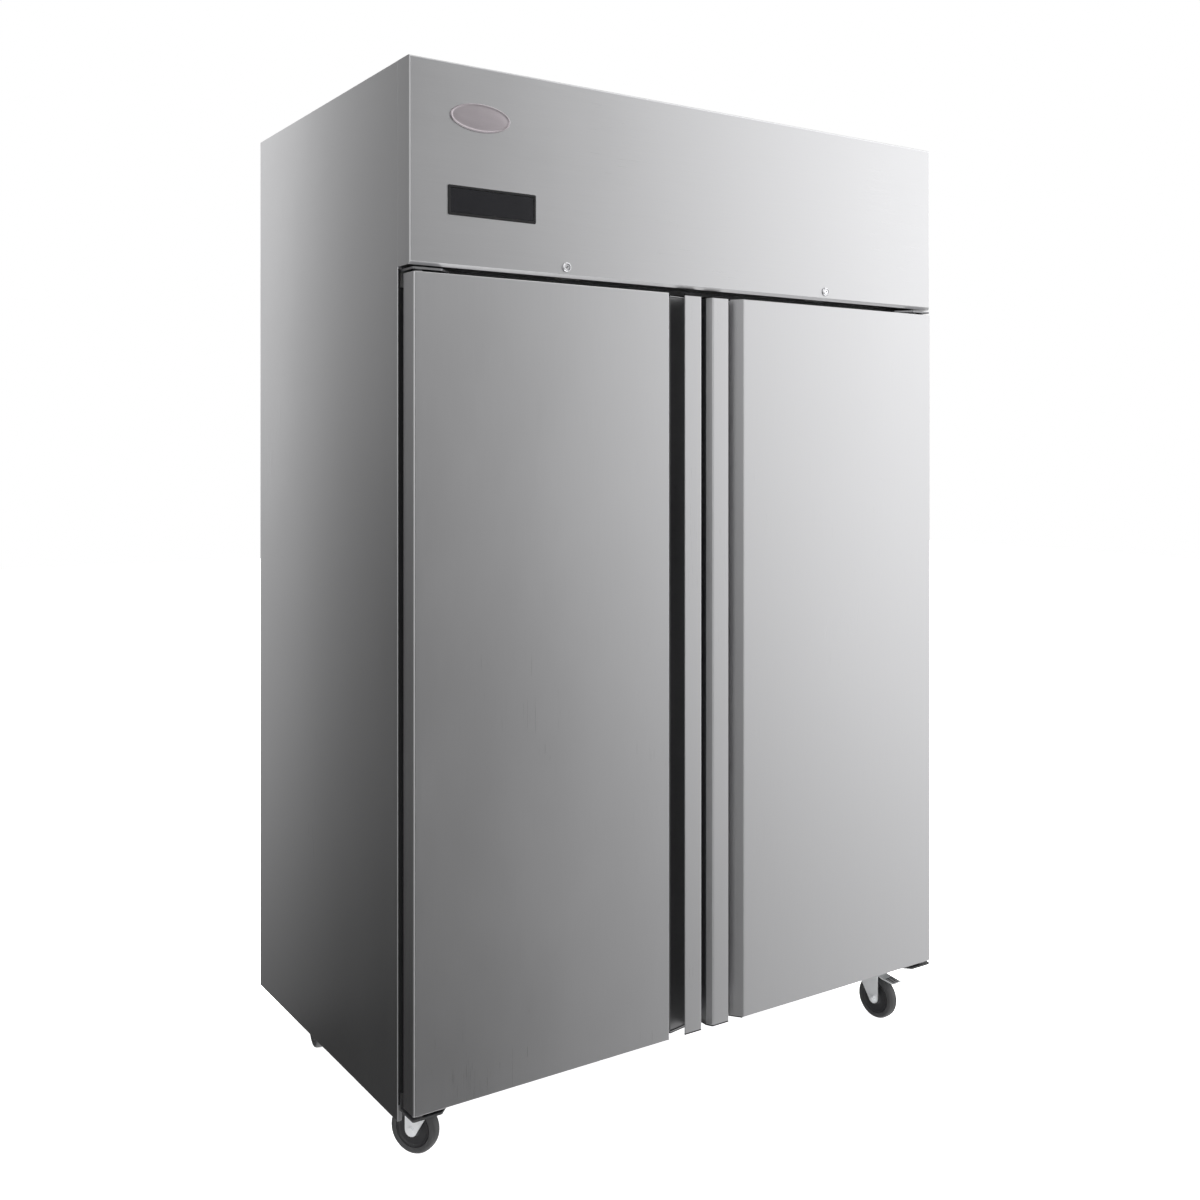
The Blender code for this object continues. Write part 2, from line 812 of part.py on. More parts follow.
def fork_side():
    """One fork leg seen from the side, as (y, z) points from the swivel axis."""
    top = FORK_CROWN_Z + FORK_SHEET
    leg = [(FORK_REAR, top), (FORK_REAR, FORK_CROWN_Z - 0.005)]
    for i in range(8):
        angle = math.radians(-20 - 160 * i / 7)
        y = -WHEEL_TRAIL + FORK_BOSS * math.cos(angle)
        leg.append((y, WHEEL_RADIUS + FORK_BOSS * math.sin(angle)))
    leg.append((-WHEEL_TRAIL - FORK_BOSS, FORK_CROWN_Z - FORK_SHOULDER))
    leg.append((-WHEEL_TRAIL, top))
    return leg


def build_fork(swivel, name, zinc):
    """Two legs under a crown plate, the lower race above it and the axle through the legs."""
    inside = FORK_INSIDE
    outside = FORK_INSIDE + FORK_SHEET
    crown_top = FORK_CROWN_Z + FORK_SHEET
    crown = box((-outside, -WHEEL_TRAIL, FORK_CROWN_Z), (outside, FORK_REAR, crown_top))
    fork = add_body(name, crown, zinc, swivel)
    for low in (-outside, inside):
        join(fork, prism(fork_side(), low, low + FORK_SHEET, "X"))
    race_top = BASE_UNDERSIDE - MOUNT_GAP - MOUNT_PLATE[2] - RACE_DROP - FIT
    race = [
        (RACE_RADIUS, crown_top - 0.0012),
        (RACE_RADIUS + 0.002, crown_top + 0.004),
        (RACE_RADIUS - 0.001, race_top),
    ]
    join(fork, turned(race))
    shank = outside - 0.0005
    reach = outside + AXLE_HEAD_LENGTH
    bolt = [
        (AXLE_HEAD, -reach),
        (AXLE_HEAD, -shank),
        (AXLE_RADIUS, -shank),
        (AXLE_RADIUS, shank),
        (AXLE_HEAD, shank),
        (AXLE_HEAD, reach),
    ]
    join(fork, turned(bolt, "X", 12, (-WHEEL_TRAIL, WHEEL_RADIUS)))


def build_wheel(axle, name, rubber):
    """Hub and tyre in one; a flat side of the tread rests on the floor."""
    tread = WHEEL_RADIUS / math.cos(math.pi / WHEEL_STEPS)
    half = [
        (AXLE_RADIUS + BORE_CLEARANCE, WHEEL_HALF_WIDTH),
        (HUB_RADIUS, WHEEL_HALF_WIDTH),
        (HUB_RADIUS + 0.002, DISH_HALF_WIDTH),
        (TYRE_INSIDE - 0.002, DISH_HALF_WIDTH),
        (TYRE_INSIDE, TYRE_HALF_WIDTH),
        (tread - 0.0035, TYRE_HALF_WIDTH),
        (tread, TYRE_HALF_WIDTH - 0.0033),
    ]
    profile = half + [(radius, -place) for radius, place in reversed(half)]
    add_body(name, turned(profile, "X", WHEEL_STEPS, ring=True), rubber, axle, smooth_deg=35)


def build_brake_pedal(pivot, name, zinc):
    """A sheet pedal over the wheel, hung on a pin between the fork's legs, with a brake shoe."""
    half = BRAKE_SHEET / 2
    outline = [(y, z + half) for y, z in BRAKE_LINE]
    outline += [(y, z - half) for y, z in reversed(BRAKE_LINE)]
    plate = prism(outline, -BRAKE_HALF_WIDTH, BRAKE_HALF_WIDTH, "X")
    pedal = add_body(name, plate, zinc, pivot)
    pin = [(BRAKE_PIN_RADIUS, -BRAKE_HALF_WIDTH), (BRAKE_PIN_RADIUS, BRAKE_HALF_WIDTH)]
    join(pedal, turned(pin, "X", 12))
    rear, front, bottom, top = BRAKE_SHOE
    shoe_width = TYRE_HALF_WIDTH
    join(pedal, box((-shoe_width, rear, bottom), (shoe_width, front, top)))


def build_castors(cabinet, materials):
    for end, y in CASTOR_Y.items():
        for side, x in CASTOR_X.items():
            label = f"{end}_{side}"
            zinc = materials["zinc"]
            heading = math.radians(CASTOR_HEADING_DEG[end, side])
            build_castor_plate(cabinet, f"castor_plate_{label}", x, y, zinc)
            swivel = add_empty(f"castor_{label}_swivel", (x, y, 0.0), cabinet, heading)
            axle = add_empty(
                f"castor_{label}_axle", (0.0, -WHEEL_TRAIL, WHEEL_RADIUS), swivel
            )
            build_fork(swivel, f"castor_fork_{label}", zinc)
            build_wheel(axle, f"castor_wheel_{label}", materials["tyre"])
            if end == "front":
                pivot = add_empty(f"castor_{label}_brake", (0.0, *BRAKE_PIVOT), swivel)
                build_brake_pedal(pivot, f"brake_pedal_{label}", zinc)


# ---------------------------------------------------------------- cooling unit and shelves

def finned_block(x_low, x_high, y_low, y_high, z_low, z_high, fins):
    """A coil block whose fins stand at the front and back of a solid middle."""
    pitch = (x_high - x_low) / (2 * fins - 1)
    groove = (y_high - y_low) / 3
    front = []
    back = []
    for i in range(fins):
        start = x_low + 2 * i * pitch
        front += [(start, y_low), (start + pitch, y_low)]
        back += [(start, y_high), (start + pitch, y_high)]
        if i < fins - 1:
            front += [(start + pitch, y_low + groove), (start + 2 * pitch, y_low + groove)]
            back += [(start + pitch, y_high - groove), (start + 2 * pitch, y_high - groove)]
    return prism(front + back[::-1], z_low, z_high)


def build_fan(parent, name, radius, depth, material):
    """Hub with five pitched blades, turning about the Y axis."""
    hub = radius * 0.30
    rotor = turned([(hub * 0.9, -depth / 2), (hub, -depth / 2 + 0.003), (hub, depth / 2)], "Y")
    fan = add_body(name, rotor, material, parent, smooth_deg=35)
    pitch = math.radians(28)
    thickness = 0.0016
    for blade in range(5):
        angle = 2 * math.pi * blade / 5
        loops = []
        for reach, half_chord in ((hub * 0.6, radius * 0.18), (radius, radius * 0.34)):
            corners = [
                (-half_chord, -thickness / 2),
                (half_chord, -thickness / 2),
                (half_chord, thickness / 2),
                (-half_chord, thickness / 2),
            ]
            loop = []
            for along, across in corners:
                tangent = along * math.cos(pitch) - across * math.sin(pitch)
                y = along * math.sin(pitch) + across * math.cos(pitch)
                x = reach * math.cos(angle) - tangent * math.sin(angle)
                z = reach * math.sin(angle) + tangent * math.cos(angle)
                loop.append((x, y * 0.8, z))
            loops.append(loop)
        join(fan, loft(loops))


def build_condensing_unit(cabinet, materials):
    base = DECK + 0.0005
    profile = [(radius, base + height) for radius, height in COMPRESSOR_PROFILE]
    shape = turned(profile, centre=(0.0, 0.0), steps=28)
    location = (*COMPRESSOR_AT, 0.0)
    add_body("compressor", shape, materials["black"], cabinet, location, smooth_deg=35)

    width, depth, height = CONDENSER_SIZE
    x_low = CONDENSER_X - width / 2
    x_high = CONDENSER_X + width / 2
    y_low = CONDENSER_Y
    coil = finned_block(x_low, x_high, y_low, y_low + depth, base, base + height, 16)
    add_body("condenser_coil", coil, materials["aluminium"], cabinet)

    centre = (CONDENSER_X, base + height / 2)
    hole = CONDENSER_FAN_RADIUS + 0.006
    steps = 24
    square = []
    for u, v in circle(1.0, steps):
        scale = 1 / max(abs(u), abs(v))
        square.append((centre[0] + u * scale * width / 2, centre[1] + v * scale * height / 2))
    front = y_low + depth + 0.0005
    back = front + 0.040

    def flat(points, y):
        return [(u, y, v) for u, v in points]

    opening = circle(hole, steps, centre)
    shroud = loft(
        [flat(square, front), flat(square, back), flat(opening, back), flat(opening, front)],
        ring=True,
    )
    add_body("condenser_shroud", shroud, materials["black"], cabinet)
    axis = add_empty("condenser_fan_axis", (centre[0], (front + back) / 2, centre[1]), cabinet)
    build_fan(axis, "condenser_fan", CONDENSER_FAN_RADIUS, 0.032, materials["black"])


def build_evaporator(cabinet, materials):
    ceiling = INSIDE_CEILING - FIT - LINER_SHEET - FIT
    back = INSIDE_BACK - FIT - LINER_SHEET - FIT
    half = EVAPORATOR_HALF_WIDTH
    wall = SHEET

    def loop(inset, z):
        low = -half + inset
        high = half - inset
        near = EVAPORATOR_FRONT + inset
        far = back - inset
        return [(low, near, z), (high, near, z), (high, far, z), (low, far, z)]

    cover = loft(
        [
            loop(0.0, EVAPORATOR_BOTTOM),
            loop(0.0, ceiling),
            loop(wall, ceiling),
            loop(wall, EVAPORATOR_BOTTOM + wall),
        ]
    )
    cover = add_body("evaporator_cover", cover, materials["steel"], cabinet)
    fan_z = (EVAPORATOR_BOTTOM + ceiling) / 2
    for sign in SIDES.values():
        hole = circle(EVAPORATOR_FAN_RADIUS + 0.004, 24, (sign * EVAPORATOR_FAN_X, fan_z))
        cut(cover, prism(hole, EVAPORATOR_FRONT - 0.01, EVAPORATOR_FRONT + 0.01, "Y"))
    for side, sign in SIDES.items():
        axis = add_empty(
            f"evaporator_fan_{side}_axis",
            (sign * EVAPORATOR_FAN_X, EVAPORATOR_FRONT + 0.014, fan_z),
            cabinet,
        )
        build_fan(
            axis, f"evaporator_fan_{side}", EVAPORATOR_FAN_RADIUS, 0.020, materials["black"]
        )
    coil = finned_block(
        -0.300, 0.300, 0.110, 0.290, EVAPORATOR_BOTTOM + 0.012, ceiling - 0.008, 16
    )
    add_body("evaporator_coil", coil, materials["aluminium"], cabinet)


def build_shelves(cabinet, material):
    for side, sign in SIDES.items():
        edges = sorted(sign * reach for reach in SHELF_SPAN)
        columns = bars_and_gaps(*edges, 0.005, 9)
        rows = bars_and_gaps(SHELF_FRONT, SHELF_BACK, 0.006, 2)
        for level, height in SHELF_HEIGHTS.items():
            shelf = cell_plate(
                columns,
                rows,
                lambda i, j: i % 2 == 1 and j % 2 == 1,
                height - SHELF_THICKNESS,
                height,
                "Z",
            )
            add_body(f"shelf_{side}_{level}", shelf, material, cabinet)


def main():
    clear_scene()
    materials = {
        "steel": make_material("brushed_stainless", (0.52, 0.52, 0.53), 0.34, 1.0),
        "zinc": make_material("bright_zinc", (0.72, 0.73, 0.75), 0.28, 1.0),
        "chrome": make_material("polished_chrome", (0.80, 0.80, 0.82), 0.12, 1.0),
        "aluminium": make_material("fin_aluminium", (0.70, 0.71, 0.73), 0.40, 1.0),
        "black": make_material("black_paint", (0.020, 0.020, 0.022), 0.45, 0.0),
        "bezel": make_material("bezel_plastic", (0.030, 0.031, 0.033), 0.40, 0.0),
        "display": make_material("display_plastic", (0.008, 0.008, 0.009), 0.10, 0.0),
        "badge": make_material("badge_metal", (0.55, 0.52, 0.55), 0.30, 1.0),
        "foam": make_material("insulating_foam", (0.78, 0.70, 0.46), 0.90, 0.0),
        "liner": make_material("liner_plastic", (0.60, 0.61, 0.62), 0.45, 0.0),
        "frame": make_material("frame_plastic", (0.060, 0.062, 0.066), 0.50, 0.0),
        "rubber": make_material("gasket_rubber", (0.025, 0.025, 0.027), 0.65, 0.0),
        "tyre": make_material("castor_tyre", (0.018, 0.018, 0.019), 0.50, 0.0),
        "coated": make_material("coated_wire", (0.62, 0.63, 0.65), 0.35, 0.0),
    }
    cabinet = add_empty("cabinet", (0.0, 0.0, 0.0))
    build_side_panels(cabinet, materials["steel"])
    build_back(cabinet, materials["steel"])
    build_base_and_top(cabinet, materials["steel"])
    build_insulated_box(
        cabinet, materials["foam"], materials["steel"], materials["frame"]
    )
    build_fascia(cabinet, materials["steel"])
    build_fascia_fittings(cabinet, materials)
    build_locks(cabinet, materials["chrome"], materials["zinc"])
    build_doors(cabinet, materials)
    build_hinge_plates(cabinet, materials["black"], materials["zinc"])
    build_castors(cabinet, materials)
    build_condensing_unit(cabinet, materials)
    build_evaporator(cabinet, materials)
    build_shelves(cabinet, materials["coated"])


main()
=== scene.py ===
"""Looks of the two-door reach-in refrigerator: surfaces, fine pieces, light and camera."""
import json
import math
from itertools import product

import bmesh
import bpy
from mathutils import Matrix, Vector


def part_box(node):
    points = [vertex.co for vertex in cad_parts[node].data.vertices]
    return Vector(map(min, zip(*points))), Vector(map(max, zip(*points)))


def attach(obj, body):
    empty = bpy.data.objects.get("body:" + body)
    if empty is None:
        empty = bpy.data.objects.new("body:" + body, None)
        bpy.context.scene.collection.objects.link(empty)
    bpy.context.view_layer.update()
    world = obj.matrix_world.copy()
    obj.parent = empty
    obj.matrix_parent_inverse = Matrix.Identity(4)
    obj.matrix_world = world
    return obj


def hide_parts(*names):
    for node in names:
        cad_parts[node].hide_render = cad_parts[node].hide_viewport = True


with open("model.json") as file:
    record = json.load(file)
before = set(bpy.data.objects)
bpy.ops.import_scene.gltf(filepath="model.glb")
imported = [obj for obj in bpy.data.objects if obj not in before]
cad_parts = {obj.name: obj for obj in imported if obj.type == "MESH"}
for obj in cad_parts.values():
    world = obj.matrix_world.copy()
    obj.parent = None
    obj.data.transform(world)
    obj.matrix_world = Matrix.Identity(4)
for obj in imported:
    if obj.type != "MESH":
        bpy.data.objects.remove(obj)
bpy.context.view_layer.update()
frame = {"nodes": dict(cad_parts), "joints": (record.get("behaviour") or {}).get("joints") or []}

NODES = frame["nodes"]
SIDES = {"left": -1, "right": 1}
CASTORS = [f"{end}_{side}" for end in ("front", "rear") for side in SIDES]
SHELF_LEVELS = ("lower", "middle", "upper")


# ---- places taken from the frame

def low(node):
    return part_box(node)[0]


def high(node):
    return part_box(node)[1]


HALF_WIDTH = high("side_panel_right").x
CARCASS_FRONT = low("side_panel_right").y
BACK = high("side_panel_right").y
SKIRT = low("side_panel_right").z
TOP = high("side_panel_right").z
DOOR_FRONT = low("door_right_handle").y
DOOR_BOTTOM = low("door_right_skin").z
DOOR_TOP = high("door_right_skin").z
DOOR_OUTER = high("door_right_skin").x
INSIDE_X = high("inner_liner").x
INSIDE_BACK = high("inner_liner").y
INSIDE_FLOOR = low("inner_liner").z
INSIDE_CEILING = high("inner_liner").z
LINER_FRONT = low("inner_liner").y

JOINTS = {joint["name"]: joint for joint in frame["joints"]}

# closer than this counts as equal
NEAR = 1e-5
THIN_SHEET = 0.0010
SOFT_EDGE = 0.0003


def joint_place(name):
    return Vector(JOINTS[name]["pos_m"])


def add_object(name, data):
    obj = bpy.data.objects.new(name, data)
    bpy.context.scene.collection.objects.link(obj)
    return obj


# ---- procedural surfaces

def set_inputs(target, **values):
    """Set sockets by name, with an underscore for each space."""
    for name, value in values.items():
        target.inputs[name.replace("_", " ")].default_value = value


def node(tree, kind, **inputs):
    made = tree.nodes.new(kind)
    set_inputs(made, **inputs)
    return made


def link(tree, source, output, target, socket):
    tree.links.new(source.outputs[output], target.inputs[socket])


def math_node(tree, operation, *values):
    """A sum or product of numbers and sockets; returns its output socket."""
    made = node(tree, "ShaderNodeMath")
    made.operation = operation
    for i, value in enumerate(values):
        if isinstance(value, (int, float)):
            made.inputs[i].default_value = value
        else:
            tree.links.new(value, made.inputs[i])
    return made.outputs[0]


def scaled_noise(tree, coords, scale, detail=3.0, roughness=0.55):
    """Noise on the object's own coordinates, stretched by a different scale along each axis."""
    mapping = node(tree, "ShaderNodeMapping", Scale=scale)
    link(tree, coords, "Object", mapping, "Vector")
    noise = node(tree, "ShaderNodeTexNoise", Scale=1.0, Detail=detail, Roughness=roughness)
    link(tree, mapping, "Vector", noise, "Vector")
    return noise


def spread(tree, noise, middle, reach):
    """Turn a noise, which lies round one half, into middle plus or minus reach."""
    remap = node(tree, "ShaderNodeMapRange", From_Min=0.25, From_Max=0.75,
                 To_Min=middle - reach, To_Max=middle + reach)
    link(tree, noise, "Fac", remap, "Value")
    return remap.outputs["Result"]


def add_bump(tree, noise, strength, below):
    """A bump from a noise, on top of the bump below where there is one."""
    bump = node(tree, "ShaderNodeBump", Strength=strength, Distance=0.0004)
    link(tree, noise, "Fac", bump, "Height")
    if below:
        link(tree, below, "Normal", bump, "Normal")
    return bump


def surface(name, colour, roughness, metallic=0.0, tint=0.05, patch=6.0, rough_spread=0.04,
            grain=None, grain_depth=0.0, pits=0.0, pit_scale=900.0, **extra):
    """A material whose colour, gloss and height all vary: large patches, grain and pits."""
    material = bpy.data.materials.new(name)
    material.use_nodes = True
    tree = material.node_tree
    shader = tree.nodes["Principled BSDF"]
    set_inputs(shader, Metallic=metallic, **extra)
    coords = node(tree, "ShaderNodeTexCoord")

    patches = scaled_noise(tree, coords, (patch, patch, patch * 0.6), 4.0)
    shade = spread(tree, patches, 1.0, tint)
    gloss = spread(tree, patches, roughness, rough_spread)
    height = None
    if grain:
        lines = scaled_noise(tree, coords, grain, 2.0, 0.6)
        shade = math_node(tree, "MULTIPLY", shade, spread(tree, lines, 1.0, tint * 0.8))
        gloss = math_node(tree, "ADD", gloss, spread(tree, lines, 0.0, rough_spread * 1.2))
        height = add_bump(tree, lines, grain_depth, height)
    if pits:
        speckle = scaled_noise(tree, coords, (pit_scale,) * 3, 3.0, 0.7)
        height = add_bump(tree, speckle, pits, height)
    paint = node(tree, "ShaderNodeVectorMath")
    paint.operation = "SCALE"
    paint.inputs[0].default_value = colour
    tree.links.new(shade, paint.inputs["Scale"])
    link(tree, paint, "Vector", shader, "Base Color")
    tree.links.new(gloss, shader.inputs["Roughness"])
    if height:
        link(tree, height, "Normal", shader, "Normal")
    return material


UPRIGHT_GRAIN = (1100.0, 1100.0, 9.0)
LEVEL_GRAIN = (9.0, 1100.0, 1100.0)
STEEL = (0.60, 0.60, 0.61)

LOOKS = {
    "steel": surface("satin_steel", STEEL, 0.31, 1.0, 0.02, 2.5, 0.025, UPRIGHT_GRAIN, 0.05),
    "steel_level": surface("satin_steel_level", STEEL, 0.31, 1.0, 0.02, 2.5, 0.025, LEVEL_GRAIN,
                           0.05),
    "handle": surface("handle_steel", STEEL, 0.31, 1.0, 0.025, 4.0, 0.03, UPRIGHT_GRAIN, 0.05),
    # door steel made darker for the handle pocket: painted shade for the recess behind the lip
    "pocket": surface("pocket_steel_painted_shade", (0.26, 0.26, 0.265), 0.40, 1.0, 0.04, 4.0, 0.04,
                      UPRIGHT_GRAIN, 0.05),
    "galvanised": surface("galvanised_sheet", (0.50, 0.52, 0.53), 0.42, 1.0, 0.12, 60.0, 0.10,
                          pits=0.05, pit_scale=160.0),
    "zinc": surface("bright_zinc", (0.70, 0.71, 0.72), 0.33, 0.62, 0.05, 40.0, 0.06, pits=0.06,
                    pit_scale=500.0),
    "hinge": surface("hinge_steel", (0.30, 0.30, 0.31), 0.40, 1.0, 0.08, 40.0, 0.06, pits=0.05,
                     pit_scale=400.0),
    "chrome": surface("lock_chrome", (0.82, 0.82, 0.84), 0.14, 1.0, 0.03, 90.0, 0.04),
    "aluminium": surface("fin_aluminium", (0.72, 0.73, 0.75), 0.38, 1.0, 0.08, 30.0, 0.08,
                         (700.0, 700.0, 20.0), 0.10),
    "badge": surface("badge_metal", (0.52, 0.475, 0.50), 0.34, 1.0, 0.03, 12.0, 0.03,
                     (30.0, 900.0, 1500.0), 0.10),
    "black": surface("black_paint", (0.016, 0.016, 0.017), 0.42, 0.0, 0.15, 25.0, 0.06, pits=0.10,
                     pit_scale=700.0, Coat_Weight=0.15, Coat_Roughness=0.3),
    "plastic": surface("black_plastic", (0.022, 0.022, 0.024), 0.50, 0.0, 0.12, 20.0, 0.05,
                       pits=0.12, pit_scale=1400.0),
    # near-black matt: black trim at the handle ends and pocket sills, painted shade on the door-gap
    # strips
    "trim": surface("matt_black_trim_and_gap_shade", (0.005, 0.005, 0.0055), 0.62, 0.0, 0.12, 20.0, 0.05,
                    pits=0.10, pit_scale=1400.0, Specular_IOR_Level=0.16),
    "bezel": surface("bezel_plastic", (0.005, 0.005, 0.0055), 0.42, 0.0, 0.08, 30.0, 0.04,
                     pits=0.08, pit_scale=1800.0, Specular_IOR_Level=0.32),
    "display": surface("display_gloss", (0.006, 0.006, 0.007), 0.16, 0.0, 0.10, 25.0, 0.03,
                       Specular_IOR_Level=0.36),
    "frame": surface("frame_plastic", (0.055, 0.057, 0.060), 0.50, 0.0, 0.06, 8.0, 0.05,
                     pits=0.08, pit_scale=1100.0),
    "liner": surface("liner_plastic", (0.34, 0.345, 0.35), 0.42, 0.0, 0.03, 5.0, 0.05,
                     pits=0.05, pit_scale=900.0),
    "foam": surface("insulating_foam", (0.78, 0.70, 0.46), 0.92, 0.0, 0.10, 40.0, 0.03,
                    pits=0.5, pit_scale=420.0),
    "gasket": surface("gasket_rubber", (0.020, 0.020, 0.021), 0.60, 0.0, 0.12, 12.0, 0.06,
                      pits=0.10, pit_scale=1500.0),
    "tyre": surface("castor_tyre", (0.024, 0.024, 0.025), 0.52, 0.0, 0.20, 60.0, 0.08,
                    pits=0.22, pit_scale=1300.0),
    "hub": surface("castor_hub", (0.012, 0.012, 0.013), 0.40, 0.0, 0.12, 70.0, 0.06,
                   pits=0.10, pit_scale=1500.0),
    "wire": surface("coated_wire", (0.60, 0.61, 0.63), 0.36, 0.0, 0.04, 14.0, 0.05, pits=0.06,
                    pit_scale=900.0, Coat_Weight=0.25, Coat_Roughness=0.2),
    "copper": surface("copper_tube", (0.72, 0.36, 0.22), 0.32, 1.0, 0.14, 45.0, 0.10, pits=0.04,
                      pit_scale=500.0),
}


# ---- shapes

def on_axis(axis, u, v, w):
    """The point at w along an axis and at (u, v) across it."""
    return {"X": (w, u, v), "Y": (u, w, v), "Z": (u, v, w)}[axis]


def add_loft(bm, loops, ring=False):
    """Join loops of equal length by faces; close the ends, or join the last to the first."""
    rows = [[bm.verts.new(point) for point in loop] for loop in loops]
    following = rows[1:] + rows[:1] if ring else rows[1:]
    for row, other in zip(rows, following):
        for i in range(len(row)):
            j = (i + 1) % len(row)
            bm.faces.new((row[i], row[j], other[j], other[i]))
    if not ring:
        bm.faces.new(tuple(reversed(rows[0])))
        bm.faces.new(rows[-1])
    return bm


def add_prism(bm, outline, start, end, axis="Z"):
    return add_loft(bm, [[on_axis(axis, u, v, w) for u, v in outline] for w in (start, end)])


def add_box(bm, corner, opposite):
    """A box between any two opposite corners."""
    (x0, x1), (y0, y1), (z0, z1) = (sorted(ends) for ends in zip(corner, opposite))
    return add_prism(bm, [(x0, y0), (x1, y0), (x1, y1), (x0, y1)], z0, z1)


def round_corners(corners, steps=4):
    """An outline from (u, v, radius) corners, each corner turned into an arc."""
    points = []
    count = len(corners)
    for i, (u, v, radius) in enumerate(corners):
        if radius == 0:
            points.append((u, v))
            continue
        before = corners[i - 1]
        after = corners[(i + 1) % count]
        to_before = math.atan2(before[1] - v, before[0] - u)
        to_after = math.atan2(after[1] - v, after[0] - u)
        opening = (to_after - to_before + math.pi) % (2 * math.pi) - math.pi
        middle = to_before + opening / 2
        reach = radius / math.sin(abs(opening) / 2)
        centre = (u + reach * math.cos(middle), v + reach * math.sin(middle))
        sweep = math.copysign(math.pi - abs(opening), opening)
        start = middle + math.pi + sweep / 2
        for step in range(steps + 1):
            angle = start - sweep * step / steps
            points.append(
                (centre[0] + radius * math.cos(angle), centre[1] + radius * math.sin(angle))
            )
    return points


def round_rectangle(u0, u1, v0, v1, radius, steps=5):
    corners = [(u0, v0, radius), (u1, v0, radius), (u1, v1, radius), (u0, v1, radius)]
    return round_corners(corners, steps)


def inset_loop(lo, hi, inset, y, radius, steps=6):
    """A rounded rectangle at depth y, a little inside a box seen from the front."""
    outline = round_rectangle(
        lo.x + inset, hi.x - inset, lo.z + inset, hi.z - inset, radius, steps
    )
    return [(u, y, v) for u, v in outline]


def ellipse(x, z, reach_x, reach_z, y, steps):
    """A ring of points round (x, z) at depth y."""
    angles = (2 * math.pi * i / steps for i in range(steps))
    return [(x + reach_x * math.cos(a), y, z + reach_z * math.sin(a)) for a in angles]


def add_lathe(bm, profile, axis, centre, steps=48, ring=False):
    """A turned body from (radius, place) pairs about an axis through a 2-D centre."""
    angles = [2 * math.pi * i / steps for i in range(steps)]
    return add_loft(bm, [
        [
            on_axis(axis, centre[0] + radius * math.cos(a), centre[1] + radius * math.sin(a), w)
            for a in angles
        ]
        for radius, w in profile
    ], ring)


def add_tube(bm, points, radius, steps=8, closed=False):
    """A round bar along a path of points."""
    points = [Vector(p) for p in points]
    count = len(points)
    loops = []
    side = None
    for i, point in enumerate(points):
        before = points[i - 1] if closed or i else point
        after = points[(i + 1) % count] if closed or i < count - 1 else point
        along = (after - before).normalized()
        if side is None:
            side = along.orthogonal().normalized()
        side = (side - along * side.dot(along)).normalized()
        up = along.cross(side)
        loops.append([
            point + radius * (side * math.cos(a) + up * math.sin(a))
            for a in (2 * math.pi * k / steps for k in range(steps))
        ])
    return add_loft(bm, loops, ring=closed)


def smooth_path(points, samples=6):
    """A Catmull-Rom curve through the points."""
    pts = [Vector(p) for p in points]
    pts = [2 * pts[0] - pts[1]] + pts + [2 * pts[-1] - pts[-2]]
    path = []
    for a, b, c, d in zip(pts, pts[1:], pts[2:], pts[3:]):
        for k in range(samples):
            t = k / samples
            path.append(0.5 * (
                2 * b + (c - a) * t + (2 * a - 5 * b + 4 * c - d) * t * t
                + (3 * b - a - 3 * c + d) * t ** 3
            ))
    return path + [pts[-2]]


def add_cells(bm, us, vs, is_open, start, end, axis):
    """A plate of grid cells, with some cells left open."""
    verts = {}

    def vertex(i, j, level):
        key = (i, j, level)
        if key not in verts:
            verts[key] = bm.verts.new(on_axis(axis, us[i], vs[j], end if level else start))
        return verts[key]

    def solid(i, j):
        return 0 <= i < len(us) - 1 and 0 <= j < len(vs) - 1 and not is_open(i, j)

    for i in range(len(us) - 1):
        for j in range(len(vs) - 1):
            if not solid(i, j):
                continue
            ring = [(i, j), (i + 1, j), (i + 1, j + 1), (i, j + 1)]
            bm.faces.new([vertex(a, b, 1) for a, b in ring])
            bm.faces.new([vertex(a, b, 0) for a, b in reversed(ring)])
            for side, near in enumerate([(i, j - 1), (i + 1, j), (i, j + 1), (i - 1, j)]):
                if not solid(*near):
                    a, b = ring[side], ring[(side + 1) % 4]
                    bm.faces.new((vertex(*a, 0), vertex(*b, 0), vertex(*b, 1), vertex(*a, 1)))
    return bm


def evenly(start, stop, count):
    return [start + (stop - start) * k / (count - 1) for k in range(count)]


def bars(low_end, high_end, bar, count):
    """The edges of evenly spaced bars, one at each end and count gaps between them."""
    gap = (high_end - low_end - bar * (count + 1)) / count
    lines = []
    for i in range(count + 1):
        start = low_end + i * (bar + gap)
        lines += [start, start + bar]
    return lines


def bevel(obj, width):
    modifier = obj.modifiers.new("edges", "BEVEL")
    modifier.width = width
    modifier.segments = 2
    modifier.limit_method = "ANGLE"
    modifier.angle_limit = math.radians(40)


def weigh_normals(obj):
    """Keep flat sheets flat in shading right up to their rounded edges."""
    modifier = obj.modifiers.new("flat_faces", "WEIGHTED_NORMAL")
    modifier.keep_sharp = True
    modifier.weight = 90


def shade_folds(obj):
    """Smooth the narrow faces of a rounded fold, and keep real corners sharp."""
    obj.data.shade_smooth()
    obj.data.set_sharp_from_angle(angle=math.radians(25))
    weigh_normals(obj)


def to_mesh(bm, name):
    """A mesh from a bmesh, which is used up."""
    mesh = bpy.data.meshes.new(name)
    bm.to_mesh(mesh)
    bm.free()
    return mesh


def piece(name, bm, body, look, replaces=(), smooth=40, edge=0.0):
    """Turn a bmesh into a named piece that rides on a body."""
    bmesh.ops.recalc_face_normals(bm, faces=bm.faces)
    mesh = to_mesh(bm, name)
    mesh.materials.append(LOOKS[look])
    mesh.shade_smooth()
    mesh.set_sharp_from_angle(angle=math.radians(smooth))
    obj = add_object(name, mesh)
    if edge:
        bevel(obj, edge)
    weigh_normals(obj)
    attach(obj, body)
    if replaces:
        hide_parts(*replaces)
    return obj


